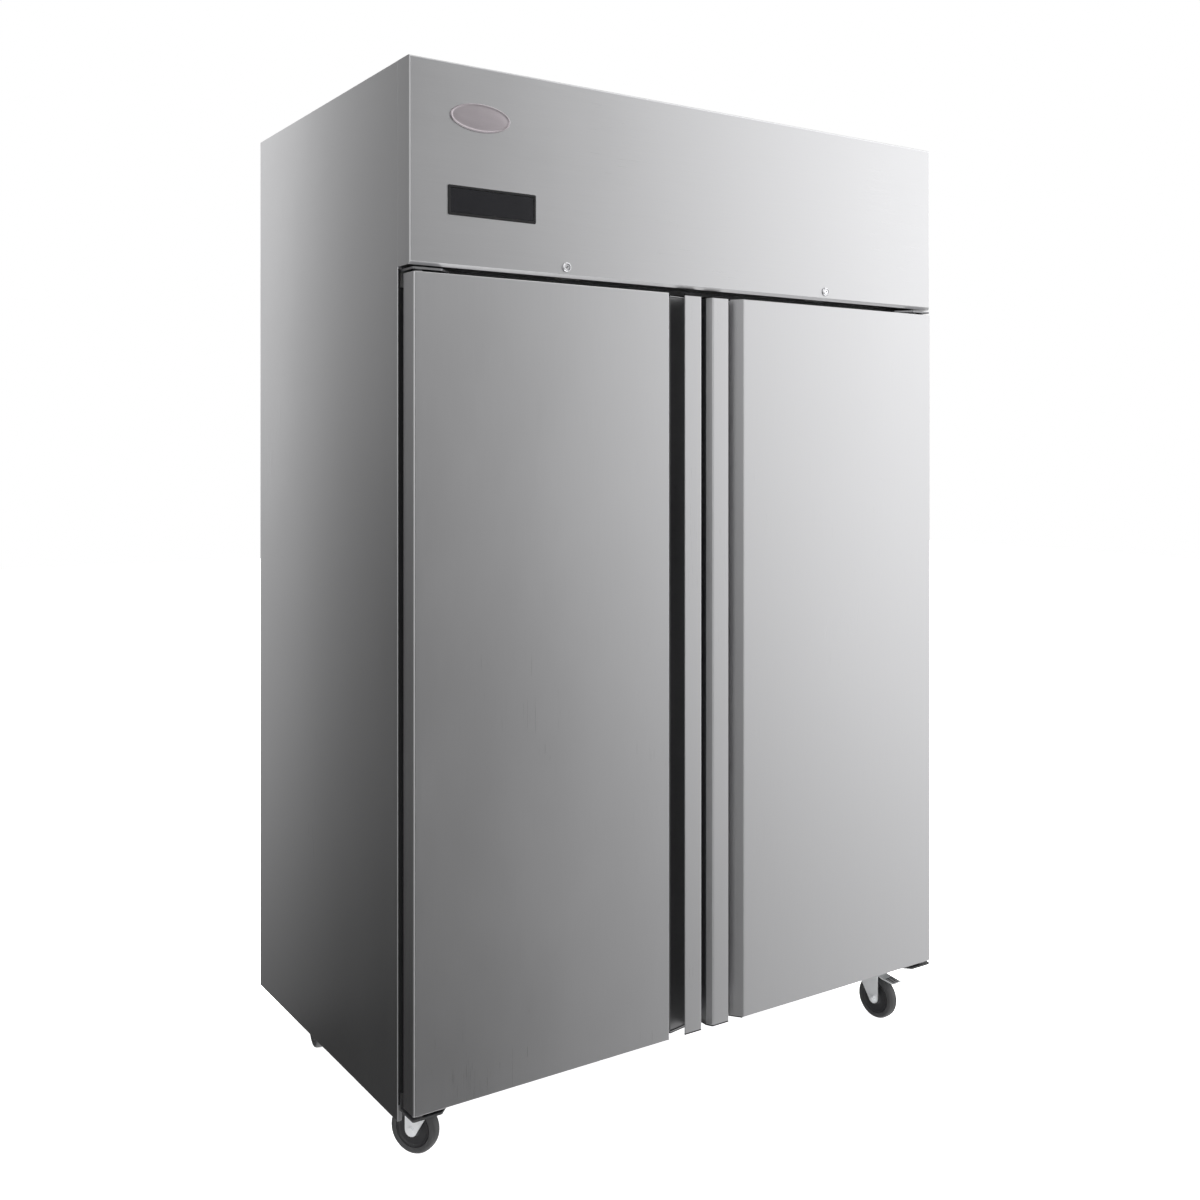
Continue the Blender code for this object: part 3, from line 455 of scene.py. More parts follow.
def bake(obj):
    """Apply a piece's modifiers to its mesh."""
    flat = obj.modifiers.get("flat_faces")
    if flat:
        obj.modifiers.remove(flat)
    graph = bpy.context.evaluated_depsgraph_get()
    mesh = bpy.data.meshes.new_from_object(obj.evaluated_get(graph))
    obj.modifiers.clear()
    obj.data = mesh
    mesh.name = obj.name


def pierce(obj, tools):
    """Cut bmesh tools out of a piece."""
    for bm in tools:
        bmesh.ops.recalc_face_normals(bm, faces=bm.faces)
        tool = add_object("tool", to_mesh(bm, "tool"))
        modifier = obj.modifiers.new("cut", "BOOLEAN")
        modifier.operation = "DIFFERENCE"
        modifier.object = tool
        modifier.solver = "EXACT"
        bpy.context.view_layer.update()
        bake(obj)
        bpy.data.objects.remove(tool, do_unlink=True)
    shade_folds(obj)


def folded_pan(name, outline, start, end, folds, is_open, sheet, body, look, replaces, axis="Z"):
    """A sheet pan: a prism, rounded along each fold, its open side removed, given a thickness."""
    bm = add_prism(bmesh.new(), outline, start, end, axis)
    bmesh.ops.recalc_face_normals(bm, faces=bm.faces)
    for is_fold, radius, segments in folds:
        edges = [e for e in bm.edges if is_fold(e.verts[0].co, e.verts[1].co)]
        bmesh.ops.bevel(
            bm, geom=edges, offset=radius, segments=segments, profile=0.5, affect="EDGES",
            clamp_overlap=True,
        )
    gone = [f for f in bm.faces if is_open(f)]
    bmesh.ops.delete(bm, geom=gone, context="FACES")
    obj = piece(name, bm, body, look, replaces)
    wall = obj.modifiers.new("sheet", "SOLIDIFY")
    wall.thickness = sheet
    wall.offset = -1.0
    wall.use_even_offset = True
    bpy.context.view_layer.update()
    bake(obj)
    shade_folds(obj)
    return obj


# ---- screws and bolts

def merge(bm, other):
    """Add the shapes of another bmesh, which is used up."""
    mesh = to_mesh(other, "merged")
    bm.from_mesh(mesh)
    bpy.data.meshes.remove(mesh)


def add_screw(bm, at, out, radius, head):
    """A pan-head screw with a cross in its hollow top, standing along the direction out."""
    local = bmesh.new()
    profile = [(radius, 0.0), (radius, head * 0.35), (radius * 0.86, head * 0.75),
               (radius * 0.55, head), (radius * 0.50, head), (radius * 0.42, head * 0.45),
               (radius * 0.05, head * 0.40)]
    add_lathe(local, profile, "Z", (0.0, 0.0), 16)
    for angle in (0.0, math.pi / 2):
        arm = bmesh.new()
        add_box(arm, (-radius * 0.62, -radius * 0.13, head * 0.3),
                (radius * 0.62, radius * 0.13, head * 0.82))
        bmesh.ops.rotate(arm, verts=arm.verts, matrix=Matrix.Rotation(angle, 3, "Z"))
        merge(local, arm)
    place(bm, local, at, out)


def add_hex_bolt(bm, at, out, radius, head):
    """A hexagonal head on a round washer."""
    washer = 0.0010
    local = bmesh.new()
    add_lathe(local, [(radius * 1.25, 0.0), (radius * 1.25, washer)], "Z", (0.0, 0.0), 24)
    head_profile = [(radius, washer), (radius, head * 0.88), (radius * 0.90, head)]
    add_lathe(local, head_profile, "Z", (0.0, 0.0), 6)
    place(bm, local, at, out)


def add_screws(bm, xs, ys, zs, out, radius, head):
    """A screw at every combination of the given places."""
    for at in product(xs, ys, zs):
        add_screw(bm, at, out, radius, head)


def place(bm, local, at, out):
    """Move a small shape, made along +Z, to a place and direction, and add it to bm."""
    turn = Vector((0, 0, 1)).rotation_difference(Vector(out)).to_matrix().to_4x4()
    bmesh.ops.transform(local, verts=local.verts, matrix=Matrix.Translation(at) @ turn)
    merge(bm, local)


# ---- outer sheets

PANEL_SHEET = 0.0012
PANEL_FLANGE = 0.009
FASCIA_FOLD = 0.0050
# the fascia's lower edge slopes back over this much depth and height
SLOPE_BACK = 0.0042
SLOPE_RISE = 0.0062
LOCK_HOLE = 0.0086
CAM_REACH = 0.042
CAM_TAIL = 0.010
CAM_ROOM = 0.0045
CUT = 0.005


def make_side_panels():
    for side, sign in SIDES.items():
        outer = sign * HALF_WIDTH
        inner = outer - sign * PANEL_SHEET
        hem = inner - sign * PANEL_SHEET
        lip = outer - sign * PANEL_FLANGE
        outline = round_corners([
            (outer, CARCASS_FRONT, 0.0024), (lip, CARCASS_FRONT, 0.0005),
            (lip, CARCASS_FRONT + PANEL_SHEET, 0.0005),
            (inner, CARCASS_FRONT + PANEL_SHEET, 0.0010), (inner, BACK - PANEL_SHEET, 0.0010),
            (lip, BACK - PANEL_SHEET, 0.0005), (lip, BACK, 0.0005), (outer, BACK, 0.0024),
        ], 5)
        bm = add_prism(bmesh.new(), outline, SKIRT, TOP)
        # the skirt's lower edge is folded up inside for a safe, stiff rim
        rim = [(inner, SKIRT), (hem, SKIRT + 0.0006), (hem, SKIRT + 0.014), (inner, SKIRT + 0.014)]
        add_loft(bm, [[(u, y, v) for u, v in rim] for y in (CARCASS_FRONT + 0.012, BACK - 0.012)])
        piece(f"side_sheet_{side}", bm, "cabinet", "steel", (f"side_panel_{side}",), edge=0.0004)


def lock_slot(side, sign, z):
    """A cutting tool at height z for the slot that a lock's cam swings through."""
    lock = joint_place(f"lock_{side}_turn")
    return add_box(bmesh.new(), (lock.x + sign * CAM_TAIL, lock.y - CAM_ROOM, z - CUT),
                   (lock.x - sign * CAM_REACH, lock.y + CAM_ROOM, z + CUT))


def make_fascia():
    lo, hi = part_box("front_fascia")
    outline = [(hi.y, lo.z), (lo.y + SLOPE_BACK, lo.z), (lo.y, lo.z + SLOPE_RISE),
               (lo.y, hi.z), (hi.y, hi.z)]

    def is_front_fold(a, b):
        return max(a.y, b.y) < lo.y + NEAR and max(a.z, b.z) > lo.z + 0.05

    fascia = folded_pan(
        "fascia_sheet", outline, -HALF_WIDTH, HALF_WIDTH, [(is_front_fold, FASCIA_FOLD, 5)],
        lambda f: f.normal.y > 0.99, PANEL_SHEET, "cabinet", "steel_level", ("front_fascia",), "X",
    )
    through = (lo.y - 2 * CUT, lo.y + 2 * CUT)
    bezel_lo, bezel_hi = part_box("controller_bezel")
    tools = [add_box(bmesh.new(), (bezel_lo.x + 0.004, through[0], bezel_lo.z + 0.004),
                     (bezel_hi.x - 0.004, through[1], bezel_hi.z - 0.004))]
    for side, sign in SIDES.items():
        lock = joint_place(f"lock_{side}_turn")
        bore = [(LOCK_HOLE, y) for y in through]
        tools.append(add_lathe(bmesh.new(), bore, "Y", (lock.x, lock.z), 32))
        tools.append(lock_slot(side, sign, lo.z))
    pierce(fascia, tools)


def make_controller():
    lo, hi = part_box("controller_bezel")
    rim = 0.0050
    bezel = [
        (0.0, hi.y, 0.0030), (0.0, lo.y + 0.0010, 0.0030), (0.0003, lo.y + 0.0004, 0.0028),
        (0.0009, lo.y, 0.0024), (rim - 0.0011, lo.y, 0.0012),
        (rim - 0.0004, lo.y + 0.0003, 0.0008), (rim - 0.0002, lo.y + 0.0009, 0.0007),
        (rim - 0.0002, hi.y, 0.0007),
    ]
    bm = add_loft(bmesh.new(), [inset_loop(lo, hi, *step) for step in bezel], ring=True)
    piece("controller_bezel_frame", bm, "cabinet", "bezel", ("controller_bezel",))

    front = low("controller_window").y
    pane = [
        (rim + 0.0001, high("controller_window").y, 0.0006), (rim + 0.0001, front + 0.0009, 0.0006),
        (rim + 0.0008, front + 0.0003, 0.0006),
    ]
    bm = add_loft(bmesh.new(), [inset_loop(lo, hi, *step) for step in pane])
    piece("controller_pane", bm, "cabinet", "display", ("controller_window",))
    # the small tab that lifts the pane out, under its lower edge
    middle = (lo.x + hi.x) / 2 + 0.003
    tab = round_rectangle(middle - 0.0045, middle + 0.0045, lo.z + rim - 0.0014,
                          lo.z + rim + 0.0016, 0.0008, 3)
    bm = add_prism(bmesh.new(), tab, lo.y + 0.0001, lo.y + 0.0015, "Y")
    piece("controller_tab", bm, "cabinet", "bezel", edge=0.0002)


def make_badge():
    """An oval plate with a raised rim and a slightly domed, blank face."""
    lo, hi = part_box("badge_plate")
    middle, reach = (lo + hi) / 2, (hi - lo) / 2
    section = [
        (0.0, hi.y), (0.0, hi.y - 0.0008), (0.0004, lo.y + 0.0005), (0.0010, lo.y + 0.0001),
        (0.0018, lo.y), (0.0026, lo.y + 0.0002), (0.0031, lo.y + 0.0007), (0.0038, lo.y + 0.0010),
        (0.0060, lo.y + 0.0010), (0.0120, lo.y + 0.0008), (0.0180, lo.y + 0.0007),
        (0.0235, lo.y + 0.0007),
    ]
    bm = add_loft(bmesh.new(), [
        ellipse(middle.x, middle.z, reach.x - inset, reach.z - inset, y, 72)
        for inset, y in section
    ])
    piece("badge_oval", bm, "cabinet", "badge", ("badge_plate",), smooth=50)


def make_locks():
    for side in SIDES:
        lock = joint_place(f"lock_{side}_turn")
        centre = (lock.x, lock.z)
        lo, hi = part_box(f"lock_barrel_{side}")
        front = lo.y
        bm = add_lathe(bmesh.new(), [
            (0.0060, front + 0.0012), (0.0062, front + 0.0003), (0.0070, front),
            (0.0079, front + 0.0003), (0.0092, front + 0.0016), (0.0095, front + 0.0022),
            (0.0095, front + 0.0033), (0.0080, front + 0.0034), (0.0080, hi.y),
            (0.0050, hi.y), (0.0050, front + 0.0030), (0.0058, front + 0.0030),
        ], "Y", centre, 48, ring=True)
        piece(f"lock_ring_{side}", bm, "cabinet", "chrome", (f"lock_barrel_{side}",))
        bm = add_lathe(bmesh.new(), [
            (0.0049, front + 0.0034), (0.0056, front + 0.0029), (0.0056, front + 0.0011),
            (0.0052, front + 0.0007), (0.0002, front + 0.0007),
        ], "Y", centre, 40)
        plug = piece(f"lock_plug_{side}", bm, "cabinet", "chrome")
        # the keyway: a flat slot with a ridge on one side, standing at a slant
        slot = round_corners([(-0.0030, -0.0006, 0.0003), (0.0030, -0.0006, 0.0003),
                              (0.0030, 0.0006, 0.0003), (0.0012, 0.0006, 0.0002),
                              (0.0008, 0.0014, 0.0002), (-0.0006, 0.0014, 0.0002),
                              (-0.0008, 0.0006, 0.0002), (-0.0030, 0.0006, 0.0003)], 2)
        slant = Matrix.Rotation(math.radians(35), 2)
        turned = [Vector(centre) + slant @ Vector(point) for point in slot]
        pierce(plug, [add_prism(bmesh.new(), turned, front - 0.001, front + 0.0026, "Y")])
        bm = add_lathe(bmesh.new(), [(0.0032, front + 0.0024), (0.0032, front + 0.0027)], "Y",
                       centre, 20)
        piece(f"lock_keyway_{side}", bm, "cabinet", "plastic")
        bm = bmesh.new()
        add_hex_bolt(bm, (lock.x, high(f"lock_cam_{side}").y, lock.z), (0, 1, 0), 0.0048, 0.0042)
        piece(f"lock_nut_{side}", bm, f"lock_cam_{side}", "zinc")


# ---- doors

# measured across from the middle of the cabinet, or back from the doors' front
HANDLE_INNER = 0.0075
HANDLE_SHEET = 0.0015
LIP_FOOT = 0.021
LIP_OUTER = 0.057
POCKET_FOOT = 0.079
POCKET_MOUTH = 0.098
SKIN_BACK = 0.0412
# radii of the skin's folds; a larger outer one would let the foam core show
OUTER_FOLD = 0.0043
SMALL_FOLD = 0.0012
PIN_HOLE = 0.0056
# heights of the black trim and the steel cap at each end of a handle
TRIM = 0.0026
CAP = 0.0040


def make_door(side, sign):
    body = f"door_{side}"

    def section(points):
        return [(sign * p[0], DOOR_FRONT + p[1], *p[2:]) for p in points]

    make_door_skin(side, sign, body, section)
    make_handle(side, body, section)
    make_inner_panel(side, body)
    make_gasket(side, body)


def make_door_skin(side, sign, body, section):
    outline = section([(POCKET_MOUTH, 0.0), (DOOR_OUTER, 0.0), (DOOR_OUTER, SKIN_BACK),
                       (POCKET_FOOT, SKIN_BACK), (POCKET_FOOT, 0.025)])

    def is_outer_fold(a, b):
        return min(abs(a.x), abs(b.x)) > DOOR_OUTER - NEAR and max(a.y, b.y) < DOOR_FRONT + NEAR

    def is_small_fold(a, b):
        if min(abs(a.x), abs(b.x)) < POCKET_MOUTH - NEAR or min(a.y, b.y) > DOOR_FRONT + 0.03:
            return False
        beside_pocket = max(abs(a.x), abs(b.x)) < POCKET_MOUTH + NEAR
        return abs(a.z - b.z) < NEAR or beside_pocket

    skin = folded_pan(
        f"door_sheet_{side}", outline, DOOR_BOTTOM, DOOR_TOP,
        [(is_outer_fold, OUTER_FOLD, 6), (is_small_fold, SMALL_FOLD, 4)],
        lambda f: f.normal.y > 0.99, THIN_SHEET, body, "steel", (f"door_{side}_skin",),
    )
    pivot = joint_place(f"door_{side}_hinge")
    tools = []
    for z in (DOOR_BOTTOM, DOOR_TOP):
        bore = [(PIN_HOLE, z - CUT), (PIN_HOLE, z + CUT)]
        tools.append(add_lathe(bmesh.new(), bore, "Z", pivot.xy, 24))
    tools.append(lock_slot(side, sign, DOOR_TOP))
    pierce(skin, tools)


def make_handle(side, body, section):
    """A full-height lip to pull, the pocket behind it, and the closed ends of both."""
    foot = POCKET_FOOT - 0.0003
    ends = (DOOR_BOTTOM + TRIM, DOOR_TOP - TRIM)
    lip = round_corners(section([
        (LIP_FOOT, 0.0310, 0), (LIP_FOOT, 0.0025, 0.0008), (LIP_OUTER, 0.0025, 0.0011),
        (LIP_OUTER, 0.0, 0.0011), (0.015, 0.0, 0.0034), (HANDLE_INNER, 0.013, 0.0042),
        (HANDLE_INNER, SKIN_BACK, 0), (HANDLE_INNER + HANDLE_SHEET, SKIN_BACK, 0),
        (HANDLE_INNER + HANDLE_SHEET, 0.0134, 0.0024), (0.0159, HANDLE_SHEET, 0.0016),
        (LIP_FOOT - HANDLE_SHEET, HANDLE_SHEET, 0.0004), (LIP_FOOT - HANDLE_SHEET, 0.0310, 0),
    ]), 6)
    bm = add_prism(bmesh.new(), lip, *ends)
    piece(f"handle_lip_{side}", bm, body, "handle", (f"door_{side}_handle",))
    pocket = round_corners(section([
        (foot, SKIN_BACK, 0), (foot, 0.025, 0.0030), (LIP_FOOT, 0.035, 0.0060),
        (LIP_FOOT, 0.0314, 0), (LIP_FOOT - HANDLE_SHEET, 0.0314, 0),
        (LIP_FOOT - HANDLE_SHEET, 0.0368, 0.0072), (foot - HANDLE_SHEET, 0.0268, 0.0015),
        (foot - HANDLE_SHEET, SKIN_BACK, 0),
    ]), 6)
    # the pocket takes the darker steel, painted shade inside the recess
    bm = add_prism(bmesh.new(), pocket, *ends)
    piece(f"handle_pocket_{side}", bm, body, "pocket")

    nose = [(0.0158, 0.0002), (0.0140, 0.0014), (HANDLE_INNER + 0.0008, 0.0120),
            (HANDLE_INNER + 0.0001, 0.0145), (HANDLE_INNER + 0.0001, SKIN_BACK)]
    cap = section([
        (foot, SKIN_BACK), (foot, 0.0220), (LIP_FOOT + 0.0002, 0.0320),
        (LIP_FOOT + 0.0002, 0.0002), *nose,
    ])
    trim = section([
        (foot, SKIN_BACK), (foot, 0.0222), (LIP_FOOT + 0.0005, 0.0322),
        (LIP_FOOT + 0.0005, 0.0027), (LIP_OUTER - 0.0002, 0.0027), (LIP_OUTER - 0.0002, 0.0002),
        *nose,
    ])
    for end, z, up in (("bottom", DOOR_BOTTOM, 1), ("top", DOOR_TOP, -1)):
        bm = add_prism(bmesh.new(), cap, *sorted((z + up * TRIM, z + up * CAP)))
        piece(f"handle_cap_{end}_{side}", bm, body, "handle", edge=SOFT_EDGE)
        bm = add_prism(bmesh.new(), trim, *sorted((z, z + up * TRIM)))
        piece(f"handle_trim_{end}_{side}", bm, body, "trim")
    sill = section([(POCKET_MOUTH - 0.0024, 0.0030), (POCKET_FOOT - 0.0002, 0.0254),
                    (POCKET_FOOT + 0.0022, 0.0262), (POCKET_MOUTH - 0.0004, 0.0030)])
    bm = add_prism(bmesh.new(), sill, DOOR_BOTTOM - 0.0020, DOOR_BOTTOM + 0.0001)
    piece(f"pocket_sill_{side}", bm, body, "trim")


def make_inner_panel(side, body):
    """A pressed sheet: a flat rim for the gasket, then a raised field with a shallow bead."""
    lo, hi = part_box(f"door_{side}_inner_panel")
    flat = hi.y - 0.006
    # (inset from the edge, depth, corner radius)
    section = [
        (0.0022, lo.y, 0.0010), (0.0022, flat - 0.0004, 0.0010), (0.0026, flat, 0.0010),
        (0.040, flat, 0.004), (0.0430, flat - 0.0010, 0.006), (0.0460, flat, 0.008),
        (0.0580, flat, 0.016), (0.0610, flat + 0.0006, 0.020), (0.0640, flat + 0.0030, 0.024),
        (0.0670, flat + 0.0054, 0.026), (0.0700, flat + 0.0060, 0.028),
        (0.1300, flat + 0.0060, 0.034), (0.1330, flat + 0.0052, 0.036),
        (0.1370, flat + 0.0040, 0.038), (0.1420, flat + 0.0036, 0.040),
        (0.2400, flat + 0.0036, 0.030),
    ]
    bm = add_loft(bmesh.new(), [inset_loop(lo, hi, *step) for step in section])
    piece(f"door_liner_{side}", bm, body, "liner", (f"door_{side}_inner_panel",), smooth=50)
    bm = bmesh.new()
    add_screws(bm, (lo.x + 0.008, hi.x - 0.008), [flat], evenly(lo.z + 0.06, hi.z - 0.06, 6),
               (0, 1, 0), 0.0034, 0.0013)
    piece(f"door_liner_screws_{side}", bm, body, "zinc")


def make_gasket(side, body):
    lo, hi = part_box(f"door_{side}_gasket")
    width = 0.016
    # bellows section: (inset from the outer edge, share of the depth)
    section = [
        (0.0015, 0.0), (0.0008, 0.10), (0.0030, 0.24), (0.0028, 0.36), (0.0002, 0.50),
        (0.0002, 0.72), (0.0014, 0.95), (0.0030, 1.0), (width - 0.0030, 1.0),
        (width - 0.0010, 0.95), (width - 0.0002, 0.74), (width - 0.0006, 0.52),
        (width - 0.0034, 0.38), (width - 0.0034, 0.26), (width - 0.0010, 0.12),
        (width - 0.0020, 0.0),
    ]
    bm = add_loft(bmesh.new(), [
        inset_loop(lo, hi, inset, lo.y + (hi.y - lo.y) * share, 0.0006, 1)
        for inset, share in section
    ], ring=True)
    piece(f"gasket_bellows_{side}", bm, body, "gasket", (f"door_{side}_gasket",), smooth=60)


def make_hinge_details():
    """Two screws in each hinge plate, and a bush under each door."""
    screws = bmesh.new()
    inset = 0.0215
    for side in SIDES:
        for end in ("bottom", "top"):
            lo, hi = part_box(f"hinge_{end}_{side}")
            xs = [lo.x + (hi.x - lo.x) * share for share in (0.22, 0.78)]
            z = lo.z + inset if end == "bottom" else hi.z - inset
            add_screws(screws, xs, [hi.y - 0.003], [z], (0, -1, 0), 0.0042, 0.0020)
        foot = low(f"hinge_bottom_{side}").z + 0.0040
        head = DOOR_BOTTOM - 0.0006
        bush = add_lathe(bmesh.new(), [
            (0.0076, foot), (0.0098, foot), (0.0098, head - 0.0006), (0.0092, head),
            (0.0076, head),
        ], "Z", joint_place(f"door_{side}_hinge").xy, 32, ring=True)
        piece(f"hinge_bush_{side}", bush, "cabinet", "handle")
    piece("hinge_screws", screws, "cabinet", "zinc")


def make_frame_trims():
    """Black strips that cover the carcass flanges and the foam's edge round each door, as painted
    shade for the dark gap between the doors and the cabinet.
    """
    for side, sign in SIDES.items():
        leg_low = high(f"hinge_bottom_{side}").z + 0.0006
        leg_top = low(f"hinge_top_{side}").z - 0.0006
        outer = sign * (HALF_WIDTH - 0.0013)
        inner = sign * (HALF_WIDTH - 0.0245)
        beside_hinge = sign * (high("hinge_top_right").x + 0.0006)
        bm = bmesh.new()
        for z0, z1, edge in ((leg_low, leg_top, inner),
                             (DOOR_BOTTOM + 0.001, leg_low, beside_hinge),
                             (leg_top, DOOR_TOP + 0.010, beside_hinge)):
            add_box(bm, (outer, CARCASS_FRONT - 0.0012, z0), (edge, CARCASS_FRONT - 0.0001, z1))
        # black sheets set in the door gap: painted shade
        piece(f"gap_shade_strip_{side}", bm, "cabinet", "trim", smooth=30)


# ---- castors

FORK_FACE = 0.0177
TYRE_DEPTH = 0.0130
WHEEL_STEPS = 84


def mirrored(half):
    """A turned section that is the same on both sides of its middle plane."""
    return half + [(radius, -place) for radius, place in reversed(half)]


def make_castor(label):
    swivel = joint_place(f"castor_{label}_swivel")
    axle = joint_place(f"wheel_{label}_spin")
    spin_axis = JOINTS[f"wheel_{label}_spin"]["axis"]
    heading = math.atan2(spin_axis[1], spin_axis[0])
    radius = axle.z
    seat = radius - TYRE_DEPTH

    def turned_piece(name, bm, at, body, look, replaces=(), **more):
        """A piece made along the wheel's own axle, then turned to the castor's heading."""
        turn = Matrix.Translation(at) @ Matrix.Rotation(heading, 4, "Z")
        bmesh.ops.transform(bm, verts=bm.verts, matrix=turn)
        piece(f"{name}_{label}", bm, f"{body}_{label}", look, replaces, **more)

    tyre = mirrored([
        (seat, 0.0098), (seat + 0.0004, 0.0112), (seat + 0.0016, 0.0118),
        (radius - 0.0060, 0.0118), (radius - 0.0036, 0.0113), (radius - 0.0016, 0.0098),
        (radius - 0.0005, 0.0074), (radius - 0.0001, 0.0044), (radius, 0.0012),
    ])
    bm = add_lathe(bmesh.new(), tyre, "X", (0, 0), WHEEL_STEPS, ring=True)
    turned_piece("tyre", bm, axle, "wheel", "tyre", (f"castor_wheel_{label}",))

    hub = mirrored([
        (0.0047, 0.0128), (0.0098, 0.0128), (0.0114, 0.0123), (0.0124, 0.0108),
        (0.0136, 0.0092), (0.0160, 0.0084), (seat - 0.0075, 0.0082), (seat - 0.0050, 0.0086),
        (seat - 0.0036, 0.0098), (seat - 0.0026, 0.0109), (seat - 0.0010, 0.0110),
        (seat - 0.0002, 0.0098),
    ])
    bm = add_lathe(bmesh.new(), hub, "X", (0, 0), WHEEL_STEPS, ring=True)
    turned_piece("hub", bm, axle, "wheel", "hub", smooth=35)

    # the axle bolt: its head on one side; a washer, a nut and the thread's end on the other
    bm = bmesh.new()
    add_hex_bolt(bm, (FORK_FACE, 0, 0), (1, 0, 0), 0.0068, 0.0040)
    for steps, profile in (
        (28, [(0.0085, 0.0), (0.0085, 0.0010)]),
        (6, [(0.0066, 0.0010), (0.0066, 0.0036), (0.0058, 0.0042)]),
        (20, [(0.0038, 0.0042), (0.0038, 0.0058), (0.0030, 0.0064)]),
    ):
        add_lathe(bm, [(r, -FORK_FACE - out) for r, out in profile], "X", (0, 0), steps)
    turned_piece("axle_bolt", bm, axle, "castor", "zinc", edge=SOFT_EDGE)

    plate_low = high(f"castor_plate_{label}").z - 0.0029
    bm = bmesh.new()
    for dx, dy in product((-0.036, 0.036), (-0.025, 0.025)):
        at = (swivel.x + dx, swivel.y + dy, plate_low)
        add_hex_bolt(bm, at, (0, 0, -1), 0.0060, 0.0048)
    piece(f"plate_bolts_{label}", bm, "cabinet", "zinc", edge=SOFT_EDGE)

    if label.startswith("front"):
        make_brake_details(label, turned_piece)


def make_brake_details(label, turned_piece):
    """Rubber ribs on the pedal's tongue, and the pin's riveted ends."""
    pivot = joint_place(f"brake_{label}_press")
    bm = bmesh.new()
    for k in range(5):
        y = -0.0440 - 0.0046 * k
        z = -0.0087 - 0.0007 * k
        rib = [(y - 0.0014, z + 0.0002), (y + 0.0014, z + 0.0006), (y + 0.0009, z + 0.0022),
               (y - 0.0009, z + 0.0020)]
        add_prism(bm, rib, -0.0115, 0.0115, "X")
    turned_piece("brake_ribs", bm, pivot, "brake", "plastic", smooth=30, edge=SOFT_EDGE)
    bm = bmesh.new()
    for way in (-1, 1):
        rivet = [(0.0042, 0.0), (0.0040, 0.0009), (0.0026, 0.0015)]
        add_lathe(bm, [(r, way * (FORK_FACE + out)) for r, out in rivet], "X", (0, 0), 20)
    turned_piece("brake_rivets", bm, pivot, "castor", "zinc", smooth=30)


# ---- inside

RACK_DEPTHS = {"front": -0.250, "rear": 0.250}
RACK_LOW = INSIDE_FLOOR + 0.012
RACK_TOP = low("evaporator_cover").z - 0.012
RACK_HALF = 0.010
RACK_SHEET = 0.0012
LINER_FOLD = 0.010
POST_HALF = 0.0202


def make_inside():
    outline = [(-INSIDE_X, LINER_FRONT), (INSIDE_X, LINER_FRONT), (INSIDE_X, INSIDE_BACK),
               (-INSIDE_X, INSIDE_BACK)]
    folded_pan(
        "liner_sheet", outline, INSIDE_FLOOR, INSIDE_CEILING,
        [(lambda a, b: max(a.y, b.y) > LINER_FRONT + NEAR, LINER_FOLD, 5)],
        lambda f: f.normal.y < -0.99, THIN_SHEET, "cabinet", "steel", ("inner_liner",),
    )
    for side, level in product(SIDES, SHELF_LEVELS):
        make_shelf(f"shelf_{side}_{level}")
    make_rack_strips()
    make_rack_posts()
    make_shelf_clips()
    make_evaporator_details()


def make_shelf(name):
    """A rim of round wire, thin wires from front to back, and four cross wires under them."""
    lo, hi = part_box(name)
    rim = 0.0030
    outline = round_rectangle(lo.x + rim, hi.x - rim, lo.y + rim, hi.y - rim, 0.016, 5)
    bm = bmesh.new()
    add_tube(bm, [(u, v, hi.z - 0.0040) for u, v in outline], rim, 8, closed=True)
    for x in evenly(lo.x + 0.024, hi.x - 0.024, 19):
        z = hi.z - 0.0018
        add_tube(bm, [(x, lo.y + rim, z), (x, hi.y - rim, z)], 0.0017, 6)
    for share in (0.14, 0.38, 0.62, 0.86):
        y = lo.y + (hi.y - lo.y) * share
        z = hi.z - 0.0056
        add_tube(bm, [(lo.x + rim, y, z), (hi.x - rim, y, z)], 0.0022, 6)
    piece(f"wire_{name}", bm, "cabinet", "wire", (name,), smooth=70)


def add_slotted_face(bm, y, face):
    """The face of a rack at depth y, with a column of slots for the shelf clips."""
    columns = [y - RACK_HALF, y - 0.003, y + 0.003, y + RACK_HALF]
    rows = bars(RACK_LOW, RACK_TOP, 0.008, 40)
    add_cells(bm, columns, rows, lambda i, j: i == 1 and j % 2 == 1, *sorted(face), "X")


def add_flanges(bm, y, x0, x1):
    """The two folded edges of a rack at depth y."""
    for edge in (y - RACK_HALF, y + RACK_HALF - RACK_SHEET):
        add_box(bm, (x0, edge, RACK_LOW), (x1, edge + RACK_SHEET, RACK_TOP))


def make_rack_strips():
    for side, sign in SIDES.items():
        wall = sign * (INSIDE_X - 0.0015)
        for end, y in RACK_DEPTHS.items():
            bm = bmesh.new()
            add_slotted_face(bm, y, (wall - sign * 0.0060, wall - sign * 0.0072))
            add_flanges(bm, y, wall, wall - sign * 0.0062)
            piece(f"rack_strip_{end}_{side}", bm, "cabinet", "steel", smooth=30)


def make_rack_posts():
    """Posts in the middle, slotted on both faces, that stand on a foot and reach a top plate."""
    for end, y in RACK_DEPTHS.items():
        bm = bmesh.new()
        for sign in SIDES.values():
            add_slotted_face(bm, y, (sign * 0.0200, sign * 0.0212))
        add_flanges(bm, y, -POST_HALF, POST_HALF)
        for z in (INSIDE_FLOOR + 0.0012, RACK_TOP - 0.001):
            add_box(bm, (-0.028, y - 0.016, z), (0.028, y + 0.016, z + 0.002))
        add_box(bm, (-0.012, y - 0.006, INSIDE_FLOOR + 0.003), (0.012, y + 0.006, RACK_LOW + 0.004))
        piece(f"rack_post_{end}", bm, "cabinet", "steel", smooth=30)


